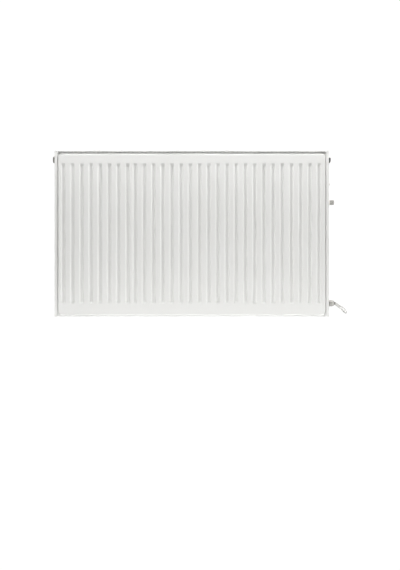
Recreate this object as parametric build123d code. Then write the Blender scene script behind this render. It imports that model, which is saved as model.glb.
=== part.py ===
from build123d import *
import math
import os

# Electric, liquid-filled steel panel radiator, hung on a wall. Millimetres.
# +X is to the right of a person facing it, +Y goes into the wall, +Z is up.
# The origin is on the wall, at the centre of the four bracket screws.

# ------------------------------------------------------------ driving sizes
WIDTH = 1000.0          # over the side covers
HEIGHT = 600.0          # of the water panels
DEPTH = 100.0           # over both water panels
WALL_GAP = 48.0         # wall to the back of the rear panel
GRILLE_RISE = 6.0       # grille and side covers above the panels
BASE = -HEIGHT / 2      # bottom edge of the panels
TOP = HEIGHT / 2
FRONT = -WALL_GAP - DEPTH
MID = -WALL_GAP - DEPTH / 2

SHEET = 1.25            # pressed steel of the water panels
RAISE = 6.5             # channel surface above the weld plane of its sheet
PANEL_W = 994.0         # its side flanges lie behind the side covers' lips
FLANGE_SIDE = 8.0       # welded rim of a panel, outside its raised field
FLANGE_BOTTOM = 5.0
FLANGE_TOP = 5.0
PANEL_CORNER = 6.0
FIELD_CORNER = 14.0     # of the raised field
RIM_TAPER = 30.0        # slope of the pressed rim, degrees from square

PITCH = 33.5            # between valleys
NARROW_PITCH = 27.0     # one channel of the pressing is narrower
NARROW_AFTER = 7        # it follows the valley of this index
VALLEY_COUNT = 29
FIRST_VALLEY = -468.1
VALLEY_LOW = 46.0       # above the panel's bottom edge
VALLEY_HIGH = 561.0
VALLEY_TOP_W = 17.0     # valley width at the channel surface
VALLEY_FLOOR_W = 7.0

FIN = 0.45              # convector sheet
FIN_DEPTH = 33.0
FIN_LOW, FIN_HIGH = 75.0, 555.0
FIN_FLAT = 18.0         # of each fold, where it is welded to a channel

COVER = 1.0             # side cover sheet
COVER_LIP = 10.0        # folded strip seen from the front and the back
COVER_INSET = 1.0       # lip behind the channel surface

TEE_X = 455.0
TEE_DROP = 21.0         # tee axis below the panel's top edge
TEE_R, TEE_BORE = 11.0, 7.5
PORT_R = 14.0           # outside of a half-inch port
PORT_X = 501.0          # end face of a port
THREAD_R, THREAD_PLAY = 10.45, 0.1
THREAD_DEEP = 14.0
PORT_HOLE = 15.5        # in a side cover, round a port

HEATER_Z = BASE + 48.0
TUBE_R, TUBE_WALL = 17.0, 2.0
TUBE_LEFT, TUBE_RIGHT = -455.0, 470.0
BRIDGE_R, BRIDGE_BORE = 8.0, 6.0
ROD_R, ROD_SPREAD = 3.25, 4.3
ROD_END = -150.0
WASHER = 1.5
WASHER_TRIM = 0.4       # a seal is this much inside its flange

CAP_R, CAP_WALL = 12.0, 2.0
CAP_START, CAP_END = 509.2, 526.0
GLAND_R, GLAND_END = 5.0, 531.0
CORD_D = 5.6
RELIEF_R, RELIEF_LONG = 4.4, 20.0
RELIEF_DROP = 30.0      # degrees below level

CONTROL_Y = MID - 10.0
BOX_X, BOX_Y = (452.0, 498.6), (-130.0, -86.0)
BOX_LOW, BOX_HIGH, BOX_WALL = 390.0, 516.0, 2.0
KNOB_Z = BASE + 420.0
KNOB_R, KNOB_START, KNOB_END = 9.0, 508.5, 524.0
SHAFT_R, SHAFT_PLAY = 3.0, 0.05
NECK_R = 5.0
BEZEL_R = 16.5
SWITCH_Z = BASE + 489.0
SWITCH_Y = MID - 20.0
ROCKER_X = 497.5        # pivot of the rocker
ROCKER_TILT = 10.0      # degrees each way

BRACKET_X = 350.0       # the bolt pattern is 2 x this wide
SCREW_Z = 200.0         # and 2 x this high
SCREW_HOLE = 4.25
RAIL_W, RAIL_T = 30.0, 2.5
RAIL_LOW, RAIL_HIGH = -245.0, 292.0
FLANGE_OUT = 14.0       # rail flange away from the wall
HOOK_OUT = 38.0         # hook arm away from the wall
HOOKS = (215.0, -215.0) # height of the hook arms' top edges
HOOK_TALL = 30.0
NOTCH = (-24.5, -18.0)
NOTCH_DEEP = 14.0
PAD_WALL = 1.6
LUG_T, LUG_W = 2.5, 42.0
CATCH_T, CATCH_W, CATCH_TRAVEL = 2.0, 23.0, 12.0

COIL_X, COIL_Y, COIL_Z = 430.0, -28.0, BASE + 190.0
COIL_R = 33.0           # middle of the turns
COIL_THICK_Y, COIL_THICK_R = 18.0, 12.0
PLUG_R, PLUG_LONG, PLUG_NECK = 18.0, 34.0, 14.0
PIN_R, PIN_LONG, PIN_APART = 2.4, 19.0, 19.0

VALLEYS = [
    FIRST_VALLEY + i * PITCH - (PITCH - NARROW_PITCH if i > NARROW_AFTER else 0.0)
    for i in range(VALLEY_COUNT)
]
parts = {}


# ------------------------------------------------------------ shape helpers
def box(x, y, z):
    """A block between two values on each axis."""
    size = [abs(b - a) for a, b in (x, y, z)]
    centre = [(a + b) / 2 for a, b in (x, y, z)]
    return Pos(*centre) * Box(*size)


def rod_x(r, x, y, z):
    """A cylinder along X between the two values of x."""
    return Pos((x[0] + x[1]) / 2, y, z) * Rot(0, 90, 0) * Cylinder(r, abs(x[1] - x[0]))


def rod_y(r, x, y, z):
    """A cylinder along Y between the two values of y."""
    return Pos(x, (y[0] + y[1]) / 2, z) * Rot(90, 0, 0) * Cylinder(r, abs(y[1] - y[0]))


def rod_z(r, x, y, z):
    """A cylinder along Z between the two values of z."""
    return Pos(x, y, (z[0] + z[1]) / 2) * Cylinder(r, abs(z[1] - z[0]))


def hex_x(across, x, y, z):
    """A hexagon along X, with the distance across its flats."""
    face = Plane(origin=(x[0], y, z), x_dir=(0, 1, 0), z_dir=(1, 0, 0))
    return extrude(face * RegularPolygon(across / 2, 6, major_radius=False), x[1] - x[0])


def left(part):
    """The same part at the other end of the radiator."""
    return mirror(part, about=Plane.YZ)


def tube_along(points, r):
    """A tube on straight runs joined by arcs, and the radii of those arcs."""
    radii = []
    for a, b, c in zip(points, points[1:], points[2:]):
        before, after = Vector(*b) - Vector(*a), Vector(*c) - Vector(*b)
        turn = math.radians(before.get_angle(after))
        radii.append(0.45 * min(before.length, after.length) / math.tan(turn / 2))
    path = FilletPolyline(*points, radius=radii)
    start = Plane(origin=path @ 0, z_dir=path % 0)
    tube = sweep(start * Circle(r), path=path)
    expected = math.pi * r * r * path.length
    print(
        f"tube of radius {r}: radii {[round(v, 1) for v in radii]}, length {path.length:.1f},"
        f" volume {tube.volume:.0f}, section times length {expected:.0f}"
    )
    return tube


# ------------------------------------------------------------ water panels
def sheet_surface(inset, valley_grow, height):
    """The pressed relief of one sheet above its weld plane, on the plane XY.

    inset shrinks the raised field, valley_grow widens its valleys.
    """
    low, high = BASE + FLANGE_BOTTOM, TOP - FLANGE_TOP
    field_w = PANEL_W - 2 * FLANGE_SIDE
    field = Pos(0, (low + high) / 2) * RectangleRounded(
        field_w - 2 * inset, high - low - 2 * inset, FIELD_CORNER - inset
    )
    relief = extrude(field, amount=height, taper=RIM_TAPER)
    floor_w = VALLEY_FLOOR_W + 2 * valley_grow
    depth = RAISE - SHEET
    slope = math.degrees(math.atan((VALLEY_TOP_W - VALLEY_FLOOR_W) / 2 / depth))
    floor_len = VALLEY_HIGH - VALLEY_LOW - (VALLEY_TOP_W - VALLEY_FLOOR_W) + 2 * valley_grow
    middle = BASE + (VALLEY_LOW + VALLEY_HIGH) / 2
    start = height - depth
    for x in VALLEYS:
        slot = Pos(x, middle, start) * SlotOverall(floor_len, floor_w, rotation=90)
        relief -= extrude(slot, amount=depth, taper=-slope)
    return relief


def make_sheet():
    """One pressed sheet on the plane XY, its channels raised towards +Z."""
    plate = extrude(Pos(0, 0) * RectangleRounded(PANEL_W, HEIGHT, PANEL_CORNER), SHEET)
    outside = sheet_surface(0.0, 0.0, RAISE)
    water = sheet_surface(SHEET, SHEET, RAISE - SHEET)
    return plate + outside - water


def facing_room(part, y):
    """Puts a sheet's weld plane at y, with its channels towards the room."""
    return Plane(origin=(0, y, 0), x_dir=(1, 0, 0), z_dir=(0, -1, 0)) * part


def facing_wall(part, y):
    """Puts a sheet's weld plane at y, with its channels towards the wall."""
    turned = facing_room(part, 0)
    return Pos(0, y, 0) * mirror(turned, about=Plane.XZ)


BRIDGE_XS = [
    (VALLEYS[1] + VALLEYS[2]) / 2,
    (VALLEYS[-2] + VALLEYS[-3]) / 2,
]
WELD_FRONT = FRONT + RAISE
WELD_REAR = -WALL_GAP - RAISE
INNER_FRONT = WELD_FRONT + RAISE
INNER_REAR = WELD_REAR - RAISE


def water_ports(weld, inner):
    """The holes through an inner sheet for the tees and the bridges."""
    reach = (min(weld, inner) - 1, max(weld, inner) + 1)
    holes = [rod_y(TEE_BORE, x, reach, TOP - TEE_DROP) for x in (-TEE_X, TEE_X)]
    holes += [rod_y(BRIDGE_BORE, x, reach, HEATER_Z) for x in BRIDGE_XS]
    return holes


def cut_ports(sheet, weld, inner):
    """An inner sheet with its holes, cut only through the metal of its channels."""
    for hole in water_ports(weld, inner):
        sheet = sheet - hole
    return sheet


pressed = make_sheet()
parts["front_panel_outer_sheet"] = facing_room(pressed, WELD_FRONT)
parts["front_panel_inner_sheet"] = cut_ports(
    facing_wall(pressed, WELD_FRONT), WELD_FRONT, INNER_FRONT
)
parts["rear_panel_inner_sheet"] = cut_ports(
    facing_room(pressed, WELD_REAR), WELD_REAR, INNER_REAR
)
parts["rear_panel_outer_sheet"] = facing_wall(pressed, WELD_REAR)


# ------------------------------------------------------------ convectors
def make_convector(y, towards):
    """Folded sheet: each flat lies on a channel, its folds stand towards the other panel."""
    profile = Sketch()
    lows = sorted((y, y + towards * FIN))
    highs = sorted((y + towards * (FIN_DEPTH - FIN), y + towards * FIN_DEPTH))
    webs = sorted((y, y + towards * FIN_DEPTH))
    centres = [(a + b) / 2 for a, b in zip(VALLEYS[:-2], VALLEYS[1:-1])]
    for i, x in enumerate(centres):
        half = FIN_FLAT / 2 if i != NARROW_AFTER else FIN_FLAT / 2 - 2
        profile += Pos(x, sum(lows) / 2) * Rectangle(2 * half, FIN)
        for side in (-1, 1):
            profile += Pos(x + side * (half - FIN / 2), sum(webs) / 2) * Rectangle(FIN, FIN_DEPTH)
        if i + 1 < len(centres):
            next_half = FIN_FLAT / 2 if i + 1 != NARROW_AFTER else FIN_FLAT / 2 - 2
            a, b = x + half - FIN, centres[i + 1] - next_half + FIN
            profile += Pos((a + b) / 2, sum(highs) / 2) * Rectangle(b - a, FIN)
    return Pos(0, 0, BASE + FIN_LOW) * extrude(profile, FIN_HIGH - FIN_LOW)


parts["convector_front"] = make_convector(INNER_FRONT, 1)
parts["convector_rear"] = make_convector(INNER_REAR, -1)


# ------------------------------------------------------------ header tees, plug, air vent
def make_tee():
    """Right-hand tee: a cross pipe between the panels with a threaded port to the side."""
    z = TOP - TEE_DROP
    tee = rod_y(TEE_R, TEE_X, (INNER_FRONT, INNER_REAR), z) + rod_x(PORT_R, (TEE_X, PORT_X), MID, z)
    tee -= rod_y(TEE_BORE, TEE_X, (INNER_FRONT, INNER_REAR), z)
    tee -= rod_x(TEE_BORE, (TEE_X, PORT_X), MID, z)
    return tee - rod_x(THREAD_R, (PORT_X - THREAD_DEEP, PORT_X), MID, z)


def make_washer(z):
    """A flat seal on a right-hand port's end face."""
    ring = rod_x(PORT_R - 2 * WASHER_TRIM, (PORT_X, PORT_X + WASHER), MID, z)
    return ring - rod_x(THREAD_R, (PORT_X, PORT_X + WASHER), MID, z)


parts["header_tee_right"] = make_tee()
parts["header_tee_left"] = left(make_tee())

TEE_Z = TOP - TEE_DROP
FACE_X = PORT_X + WASHER            # where a fitting's flange starts
FLANGE_X = FACE_X + 3.0             # and ends
STEM = (PORT_X - THREAD_DEEP + 1, FACE_X)
FITTING_R = THREAD_R - THREAD_PLAY
HEX_PLUG, PLUG_END = 22.0, 513.5

blanking = rod_x(FITTING_R, STEM, MID, TEE_Z)
blanking += rod_x(PORT_R - WASHER_TRIM, (FACE_X, FLANGE_X), MID, TEE_Z)
blanking += hex_x(HEX_PLUG, (FLANGE_X, PLUG_END), MID, TEE_Z)
parts["blanking_plug"] = left(blanking)
parts["blanking_plug_seal"] = left(make_washer(TEE_Z))
parts["air_vent_seal"] = make_washer(TEE_Z)

NOSE = (FLANGE_X, 511.0)            # the vent's nose carries the swivelling outlet
NOSE_R, NOZZLE_R, SPINDLE_R = 5.0, 8.3, 2.8
NOZZLE = (NOSE[0] + 0.4, 513.0)
SEAT_X, SEAT_T, JET_R = STEM[0] + 4.0, 1.5, 1.0
SQUARE, SQUARE_OUT = 3.8, 1.5       # end of the screw, for a vent key
SPOUT_X = (NOZZLE[0] + NOZZLE[1]) / 2
SPOUT_R, SPOUT_BORE, SPOUT_LOW = 2.4, 1.0, TEE_Z - NOZZLE_R - 3.5
vent = rod_x(FITTING_R, STEM, MID, TEE_Z)
vent += rod_x(PORT_R - WASHER_TRIM, (FACE_X, FLANGE_X), MID, TEE_Z)
vent += rod_x(NOSE_R, NOSE, MID, TEE_Z)
vent -= rod_x(SPINDLE_R + SHAFT_PLAY, (SEAT_X, NOSE[1]), MID, TEE_Z)
vent -= rod_x(JET_R, (STEM[0], SEAT_X + 1), MID, TEE_Z)
parts["air_vent_body"] = vent

nozzle = rod_x(NOZZLE_R, NOZZLE, MID, TEE_Z) - rod_x(NOSE_R + SHAFT_PLAY, NOZZLE, MID, TEE_Z)
spout = rod_z(SPOUT_R, SPOUT_X, MID, (SPOUT_LOW, TEE_Z - NOSE_R - 1))
spout_bore = rod_z(SPOUT_BORE, SPOUT_X, MID, (SPOUT_LOW, TEE_Z - NOSE_R))
parts["air_vent_outlet"] = nozzle + spout - spout_bore

spindle = rod_x(SPINDLE_R, (SEAT_X + SEAT_T, NOSE[1] - 2), MID, TEE_Z)
spindle += box(
    (NOSE[1] - 3, NOSE[1] + SQUARE_OUT),
    (MID - SQUARE / 2, MID + SQUARE / 2),
    (TEE_Z - SQUARE / 2, TEE_Z + SQUARE / 2),
)
parts["air_vent_screw"] = spindle


# ------------------------------------------------------------ heater tube and its fittings
END_T, COLLAR_T = 3.0, 4.0          # welded end discs of the tube
tube = rod_x(TUBE_R, (TUBE_LEFT, TUBE_RIGHT), MID, HEATER_Z)
tube -= rod_x(TUBE_R - TUBE_WALL, (TUBE_LEFT, TUBE_RIGHT), MID, HEATER_Z)
for x in BRIDGE_XS:
    tube -= rod_y(BRIDGE_BORE, x, (MID - TUBE_R, MID + TUBE_R), HEATER_Z)
parts["heater_tube"] = tube
parts["heater_tube_end"] = rod_x(TUBE_R, (TUBE_LEFT - END_T, TUBE_LEFT), MID, HEATER_Z)

bridges = []
for x in BRIDGE_XS:
    for side in ((INNER_FRONT, MID), (MID, INNER_REAR)):
        stub = rod_y(BRIDGE_R, x, side, HEATER_Z) - rod_y(BRIDGE_BORE, x, side, HEATER_Z)
        bridges.append(stub - rod_x(TUBE_R + SHAFT_PLAY, (x - TUBE_R, x + TUBE_R), MID, HEATER_Z))
parts["tube_bridges"] = Compound(children=bridges)

boss = rod_x(TUBE_R, (TUBE_RIGHT, TUBE_RIGHT + COLLAR_T), MID, HEATER_Z)
boss += rod_x(PORT_R, (TUBE_RIGHT, PORT_X), MID, HEATER_Z)
boss -= rod_x(THREAD_R - 1, (TUBE_RIGHT, PORT_X), MID, HEATER_Z)
parts["heater_boss"] = boss - rod_x(THREAD_R, (PORT_X - THREAD_DEEP, PORT_X), MID, HEATER_Z)
parts["heater_seal"] = make_washer(HEATER_Z)

HEAD_END = CAP_START
rods = []
for side in (-1, 1):
    rods.append(rod_x(ROD_R, (ROD_END, HEAD_END - 2), MID + side * ROD_SPREAD, HEATER_Z))
bend = revolve(
    Plane.XZ * Pos(ROD_SPREAD, 0) * Circle(ROD_R), axis=Axis.Z, revolution_arc=180
)
bend = Pos(ROD_END, MID, HEATER_Z) * Rot(0, 0, 90) * bend
parts["heating_element"] = rods[0] + rods[1] + bend

head = rod_x(FITTING_R - 0.6, STEM, MID, HEATER_Z) + hex_x(HEX_PLUG, (FACE_X, HEAD_END), MID, HEATER_Z)
for side in (-1, 1):
    head -= rod_x(ROD_R + SHAFT_PLAY, (STEM[0], HEAD_END), MID + side * ROD_SPREAD, HEATER_Z)
parts["heater_head"] = head

TERMINAL_R = 1.0
parts["heater_terminals"] = Compound(
    children=[
        rod_x(TERMINAL_R, (HEAD_END - 2, HEAD_END + 8), MID + side * ROD_SPREAD, HEATER_Z)
        for side in (-1, 1)
    ]
)


# ------------------------------------------------------------ terminal cap, gland, relief
LOBE_Y = (MID + 14.4, MID + 27.0)   # wiring duct on the wall side of the cap
LOBE_Z = (HEATER_Z - 8, HEATER_Z + 8)
WIRE_Y = MID + 20.5
LOBE_END = CAP_START + 8.0
COVER_FACE = WIDTH / 2

cap = rod_x(CAP_R, (CAP_START, CAP_END), MID, HEATER_Z)
cap += box((COVER_FACE + 0.3, LOBE_END), LOBE_Y, LOBE_Z)
cap += box((CAP_START, LOBE_END), (MID + CAP_R / 2, LOBE_Y[1]), LOBE_Z)
cap -= rod_x(CAP_R - CAP_WALL, (CAP_START, CAP_END - CAP_WALL), MID, HEATER_Z)
hollow_y = (LOBE_Y[0] + CAP_WALL, LOBE_Y[1] - CAP_WALL)
hollow_z = (LOBE_Z[0] + CAP_WALL, LOBE_Z[1] - CAP_WALL)
cap -= box((COVER_FACE, LOBE_END - CAP_WALL), hollow_y, hollow_z)
cap -= box((CAP_START + CAP_WALL, LOBE_END - CAP_WALL), (MID, hollow_y[1]), hollow_z)
parts["terminal_cap"] = cap
parts["cable_gland"] = rod_x(GLAND_R, (CAP_END, GLAND_END), MID, HEATER_Z)

drop = math.radians(RELIEF_DROP)
cord_way = Vector(math.cos(drop), 0, -math.sin(drop))
relief_root = Vector(GLAND_END, MID, HEATER_Z)
relief_plane = Plane(origin=relief_root, z_dir=cord_way)
relief = relief_plane * Pos(0, 0, RELIEF_LONG / 2) * Cone(RELIEF_R, CORD_D / 2 + 0.3, RELIEF_LONG)
relief += Pos(*relief_root) * Sphere(RELIEF_R)
relief -= box(
    (GLAND_END - RELIEF_LONG, GLAND_END),
    (MID - RELIEF_LONG, MID + RELIEF_LONG),
    (HEATER_Z - RELIEF_LONG, HEATER_Z + RELIEF_LONG),
)
parts["bend_relief"] = relief
CORD_START = relief_root + cord_way * RELIEF_LONG


# ------------------------------------------------------------ control box and thermostat
control = box(BOX_X, BOX_Y, (BASE + BOX_LOW, BASE + BOX_HIGH))
control -= box(
    (BOX_X[0] + BOX_WALL, BOX_X[1]),
    (BOX_Y[0] + BOX_WALL, BOX_Y[1] - BOX_WALL),
    (BASE + BOX_LOW + BOX_WALL, BASE + BOX_HIGH - BOX_WALL),
)
BOX_SCREWS = [(-91.0, BASE + 395.5), (-91.0, BASE + 510.5)]
SCREW_R, SCREW_HEAD_R, SCREW_HEAD_T = 1.75, 3.2, 1.8
POST_R, POST_HOLE = 4.0, 14.0       # of the box's screw posts
for y, z in BOX_SCREWS:
    control += rod_x(POST_R, BOX_X, y, z)
    control -= rod_x(SCREW_R + SHAFT_PLAY, (BOX_X[1] - POST_HOLE, BOX_X[1]), y, z)
BULB_X, BULB_Y = 462.0, -104.0
BULB_R = 3.0
BULB_Z = (BASE + 305.0, BASE + 372.0)
control += box((BOX_X[0], BOX_X[0] + 3), (BULB_Y - 5, BULB_Y + 5), (BASE + 330, BASE + BOX_LOW))
JAW_WALL, JAW_TALL, JAW_OPEN = 2.0, 6.0, 1.5
for low in (BASE + 332.0, BASE + 352.0):
    tall = (low, low + JAW_TALL)
    jaw = rod_z(BULB_R + JAW_WALL, BULB_X, BULB_Y, tall)
    jaw += box((BOX_X[0] + 1, BULB_X - JAW_OPEN), (BULB_Y - 4, BULB_Y + 4), tall)
    jaw -= rod_z(BULB_R + SHAFT_PLAY, BULB_X, BULB_Y, tall)
    jaw -= box((BULB_X + JAW_OPEN, BULB_X + 3 * BULB_R), (BULB_Y - 9, BULB_Y + 9), tall)
    control += jaw
WIRE_R, CAPILLARY_R = 2.6, 0.8
control -= rod_z(2 * CAPILLARY_R, BULB_X, BULB_Y, (BASE + BOX_LOW - 1, BASE + BOX_LOW + BOX_WALL + 1))
parts["control_box"] = control

THERMO_X, THERMO_HALF = (468.0, 494.0), 15.0
NECK_END, SHAFT_SEAT = 503.0, THERMO_X[0] + 8.0
SHAFT_END = KNOB_END - 4.0
thermo = box(
    THERMO_X,
    (CONTROL_Y - THERMO_HALF, CONTROL_Y + THERMO_HALF - 2),
    (KNOB_Z - THERMO_HALF, KNOB_Z + THERMO_HALF),
)
thermo += rod_x(NECK_R, (THERMO_X[1] - 1, NECK_END), CONTROL_Y, KNOB_Z)
thermo -= rod_x(SHAFT_R + SHAFT_PLAY, (SHAFT_SEAT, NECK_END), CONTROL_Y, KNOB_Z)
parts["thermostat_body"] = thermo
parts["thermostat_shaft"] = rod_x(SHAFT_R, (SHAFT_SEAT + 0.5, SHAFT_END), CONTROL_Y, KNOB_Z)

BEZEL_END = COVER_FACE + 8.0
bezel_profile = Plane.XZ * Polyline(
    (COVER_FACE, 0), (COVER_FACE, BEZEL_R), (COVER_FACE + 2, BEZEL_R), (COVER_FACE + 6, 11.5),
    (BEZEL_END, 11.0), (BEZEL_END, 0), close=True,
)
bezel = revolve(make_face(bezel_profile), axis=Axis.X)
bezel = Pos(0, CONTROL_Y, KNOB_Z) * bezel
bezel -= rod_x(NECK_R + SHAFT_PLAY, (COVER_FACE, BEZEL_END), CONTROL_Y, KNOB_Z)
parts["thermostat_bezel"] = bezel

knob = rod_x(KNOB_R, (KNOB_START, KNOB_END), CONTROL_Y, KNOB_Z)
knob -= rod_x(SHAFT_R, (KNOB_START, SHAFT_END), CONTROL_Y, KNOB_Z)
parts["thermostat_knob"] = knob

parts["sensor_bulb"] = rod_z(BULB_R, BULB_X, BULB_Y, BULB_Z)
capillary_route = [
    (BULB_X, BULB_Y, BULB_Z[1]),
    (BULB_X, BULB_Y, BASE + 396.0),
    (THERMO_X[0] + 4.0, BULB_Y, BASE + 400.0),
    (THERMO_X[0] + 4.0, BULB_Y, KNOB_Z - THERMO_HALF),
]
parts["sensor_capillary"] = tube_along(capillary_route, CAPILLARY_R)

SWITCH_HALF_Y, SWITCH_HALF_Z = 6.2, 9.4
CUTOUT_PLAY = 0.3
SWITCH_BACK, POCKET_BACK, FRAME_T = 478.0, 488.0, 2.0
PIVOT_R, PIVOT_PLAY = 1.2, 0.05


def switch_block(x, half_y, half_z):
    """A block centred on the switch."""
    return box(x, (SWITCH_Y - half_y, SWITCH_Y + half_y), (SWITCH_Z - half_z, SWITCH_Z + half_z))


housing = switch_block((SWITCH_BACK, COVER_FACE), SWITCH_HALF_Y, SWITCH_HALF_Z)
housing += switch_block((COVER_FACE, COVER_FACE + FRAME_T), 7.7, 11.0)
housing -= switch_block((POCKET_BACK, COVER_FACE + FRAME_T + 1), 5.0, 8.5)
housing -= rod_y(PIVOT_R + PIVOT_PLAY, ROCKER_X, (SWITCH_Y - 6, SWITCH_Y + 6), SWITCH_Z)
parts["switch_housing"] = housing

rocker_outline = [
    (8.8, 8.0), (7.2, 3.0), (7.2, -3.0), (8.8, -8.0), (4.0, -7.2), (-2.0, -4.0), (-4.0, -1.5),
    (-4.0, 1.5), (-2.0, 4.0), (4.0, 7.2),
]
rocker = extrude(Plane.XZ * make_face(Polyline(*rocker_outline, close=True)), amount=4.7, both=True)
rocker += rod_y(PIVOT_R, 0, (-5.8, 5.8), 0)
rocker = Rot(0, -ROCKER_TILT, 0) * rocker
parts["switch_rocker"] = Pos(ROCKER_X, SWITCH_Y, SWITCH_Z) * rocker
contact = switch_block((SWITCH_BACK - 8, SWITCH_BACK), 2.4, 0.4)
parts["switch_contacts"] = Compound(children=[Pos(0, 0, dz) * contact for dz in (-6.0, 0.0, 6.0)])

wire_route = [
    (481.0, -98.0, BASE + BOX_LOW), (481.0, -98.0, BASE + 335.0), (484.0, -88.0, BASE + 268.0),
    (482.0, -80.0, BASE + 205.0), (483.0, -80.0, BASE + 145.0), (484.0, WIRE_Y, BASE + 95.0),
    (482.0, WIRE_Y, BASE + 62.0), (488.0, WIRE_Y, HEATER_Z + 1.0), (503.0, WIRE_Y, HEATER_Z),
]
parts["heater_wiring"] = tube_along(wire_route, WIRE_R)


# ------------------------------------------------------------ side covers, clips, screws
def make_cover():
    """Right-hand side cover: a plate with a strip folded in at the front and the back."""
    high = TOP + GRILLE_RISE
    near, far = FRONT + COVER_INSET, -WALL_GAP - COVER_INSET
    cover = box((COVER_FACE - COVER, COVER_FACE), (near, far), (BASE, high))
    for y in ((near, near + COVER), (far - COVER, far)):
        cover += box((COVER_FACE - COVER_LIP, COVER_FACE), y, (BASE, high))
    outer = [e for e in cover.edges().filter_by(Axis.Z) if e.center().X > COVER_FACE - COVER / 2]
    return fillet(outer, COVER * 0.95)


THROUGH = (COVER_FACE - COVER_LIP, COVER_FACE + COVER_LIP)
cover_right = make_cover() - rod_x(PORT_HOLE, THROUGH, MID, TEE_Z)
cover_right -= rod_x(PORT_HOLE, THROUGH, MID, HEATER_Z)
cover_right -= rod_x(WIRE_R + 0.8, THROUGH, WIRE_Y, HEATER_Z)
cover_right -= rod_x(NECK_R + 0.4, THROUGH, CONTROL_Y, KNOB_Z)
cover_right -= box(
    THROUGH,
    (SWITCH_Y - SWITCH_HALF_Y - CUTOUT_PLAY, SWITCH_Y + SWITCH_HALF_Y + CUTOUT_PLAY),
    (SWITCH_Z - SWITCH_HALF_Z - CUTOUT_PLAY, SWITCH_Z + SWITCH_HALF_Z + CUTOUT_PLAY),
)
for y, z in BOX_SCREWS:
    cover_right -= rod_x(SCREW_R + 0.3, THROUGH, y, z)
parts["side_cover_right"] = cover_right
parts["side_cover_left"] = left(make_cover() - rod_x(PORT_HOLE, THROUGH, MID, TEE_Z))

CROSS_LONG, CROSS_WIDE = 2.2, 0.4   # half sizes of the screws' cross recess
screws = []
for y, z in BOX_SCREWS:
    screw = rod_x(SCREW_R, (BOX_X[1] - 12, COVER_FACE), y, z)
    screw += rod_x(SCREW_HEAD_R, (COVER_FACE, COVER_FACE + SCREW_HEAD_T), y, z)
    recess = (COVER_FACE + SCREW_HEAD_T / 2, COVER_FACE + 2)
    screw -= box(recess, (y - CROSS_LONG, y + CROSS_LONG), (z - CROSS_WIDE, z + CROSS_WIDE))
    screw -= box(recess, (y - CROSS_WIDE, y + CROSS_WIDE), (z - CROSS_LONG, z + CROSS_LONG))
    screws.append(screw)
parts["control_box_screws"] = Compound(children=screws)

CLIP_T, CLIP_TALL, CLIP_GRIP = 0.8, 24.0, 6.5
CLIP_ZS = (-150.0, 150.0)


def make_cover_clip(weld, outward, z):
    """A folded spring clip: it grips the panel's side flange and holds the cover's lip."""
    half = PANEL_W / 2
    span = (z - CLIP_TALL / 2, z + CLIP_TALL / 2)
    near = weld + outward * SHEET
    far = weld - outward * SHEET
    lip = (FRONT + COVER_INSET + COVER) if outward < 0 else (-WALL_GAP - COVER_INSET - COVER)
    across = (half - CLIP_GRIP, half + CLIP_T)
    clip = box(across, (near, near + outward * CLIP_T), span)
    clip += box(across, (far, far - outward * CLIP_T), span)
    clip += box((half, half + CLIP_T), (near + outward * CLIP_T, far - outward * CLIP_T), span)
    clip += box((across[0], across[0] + CLIP_T), (near, lip), span)
    return clip + box(across, (lip - outward * CLIP_T, lip), span)


clips = []
for z in CLIP_ZS:
    for weld, outward in ((WELD_FRONT, -1), (WELD_REAR, 1)):
        clip = make_cover_clip(weld, outward, z)
        clips += [clip, left(clip)]
parts["cover_clips"] = Compound(children=clips)


# ------------------------------------------------------------ top grille and its clips
GRILLE_W = 977.0
GRILLE_T = 1.2
GRILLE_TOP = TOP + GRILLE_RISE
SKIRT = 5.8             # it hides the gap above the panels
SLOT_PITCH, SLOT_W, SLOT_ROWS = 16.0, 9.0, (-23.0, 23.0)
SLOT_LONG, SLOT_MARGIN = 38.0, 12.0
LEG_XS = (-425.0, -150.0, 150.0, 425.0)
LEG_W, LEG_LOW, LEG_PLAY = 12.0, 574.0, 0.5

grille_y = (FRONT + COVER_INSET, -WALL_GAP - COVER_INSET)
grille = box((-GRILLE_W / 2, GRILLE_W / 2), grille_y, (GRILLE_TOP - SKIRT, GRILLE_TOP))
grille -= box(
    (-GRILLE_W / 2 + GRILLE_T, GRILLE_W / 2 - GRILLE_T),
    (grille_y[0] + GRILLE_T, grille_y[1] - GRILLE_T),
    (GRILLE_TOP - SKIRT, GRILLE_TOP - GRILLE_T),
)
slot_count = int((GRILLE_W - 2 * SLOT_MARGIN) // SLOT_PITCH)
slots = Sketch()
for i in range(slot_count):
    for y in SLOT_ROWS:
        slots += Pos((i - (slot_count - 1) / 2) * SLOT_PITCH, MID + y) * Rectangle(SLOT_W, SLOT_LONG)
grille -= Pos(0, 0, GRILLE_TOP - GRILLE_T - 1) * extrude(slots, GRILLE_T + 2)
leg_ys = (
    (INNER_FRONT + LEG_PLAY, INNER_FRONT + LEG_PLAY + GRILLE_T),
    (INNER_REAR - LEG_PLAY - GRILLE_T, INNER_REAR - LEG_PLAY),
)
for x in LEG_XS:
    for y in leg_ys:
        grille += box((x - LEG_W / 2, x + LEG_W / 2), y, (BASE + LEG_LOW, GRILLE_TOP - GRILLE_T / 2))
parts["top_grille"] = grille

STAPLE_T, STAPLE_Z = 0.8, (BASE + 575.5, BASE + 584.0)
STAPLE_PLAY = 0.4
staples = []
for x in LEG_XS:
    for y0, y1, inward in ((INNER_FRONT, leg_ys[0][1], 1), (INNER_REAR, leg_ys[1][0], -1)):
        wide = LEG_W / 2 + STAPLE_PLAY
        deep = y1 + inward * STAPLE_PLAY
        staple = box((x - wide - STAPLE_T, x + wide + STAPLE_T), (y0, deep + inward * STAPLE_T), STAPLE_Z)
        staples.append(staple - box((x - wide, x + wide), (y0, deep), STAPLE_Z))
parts["grille_clips"] = Compound(children=staples)


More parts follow.
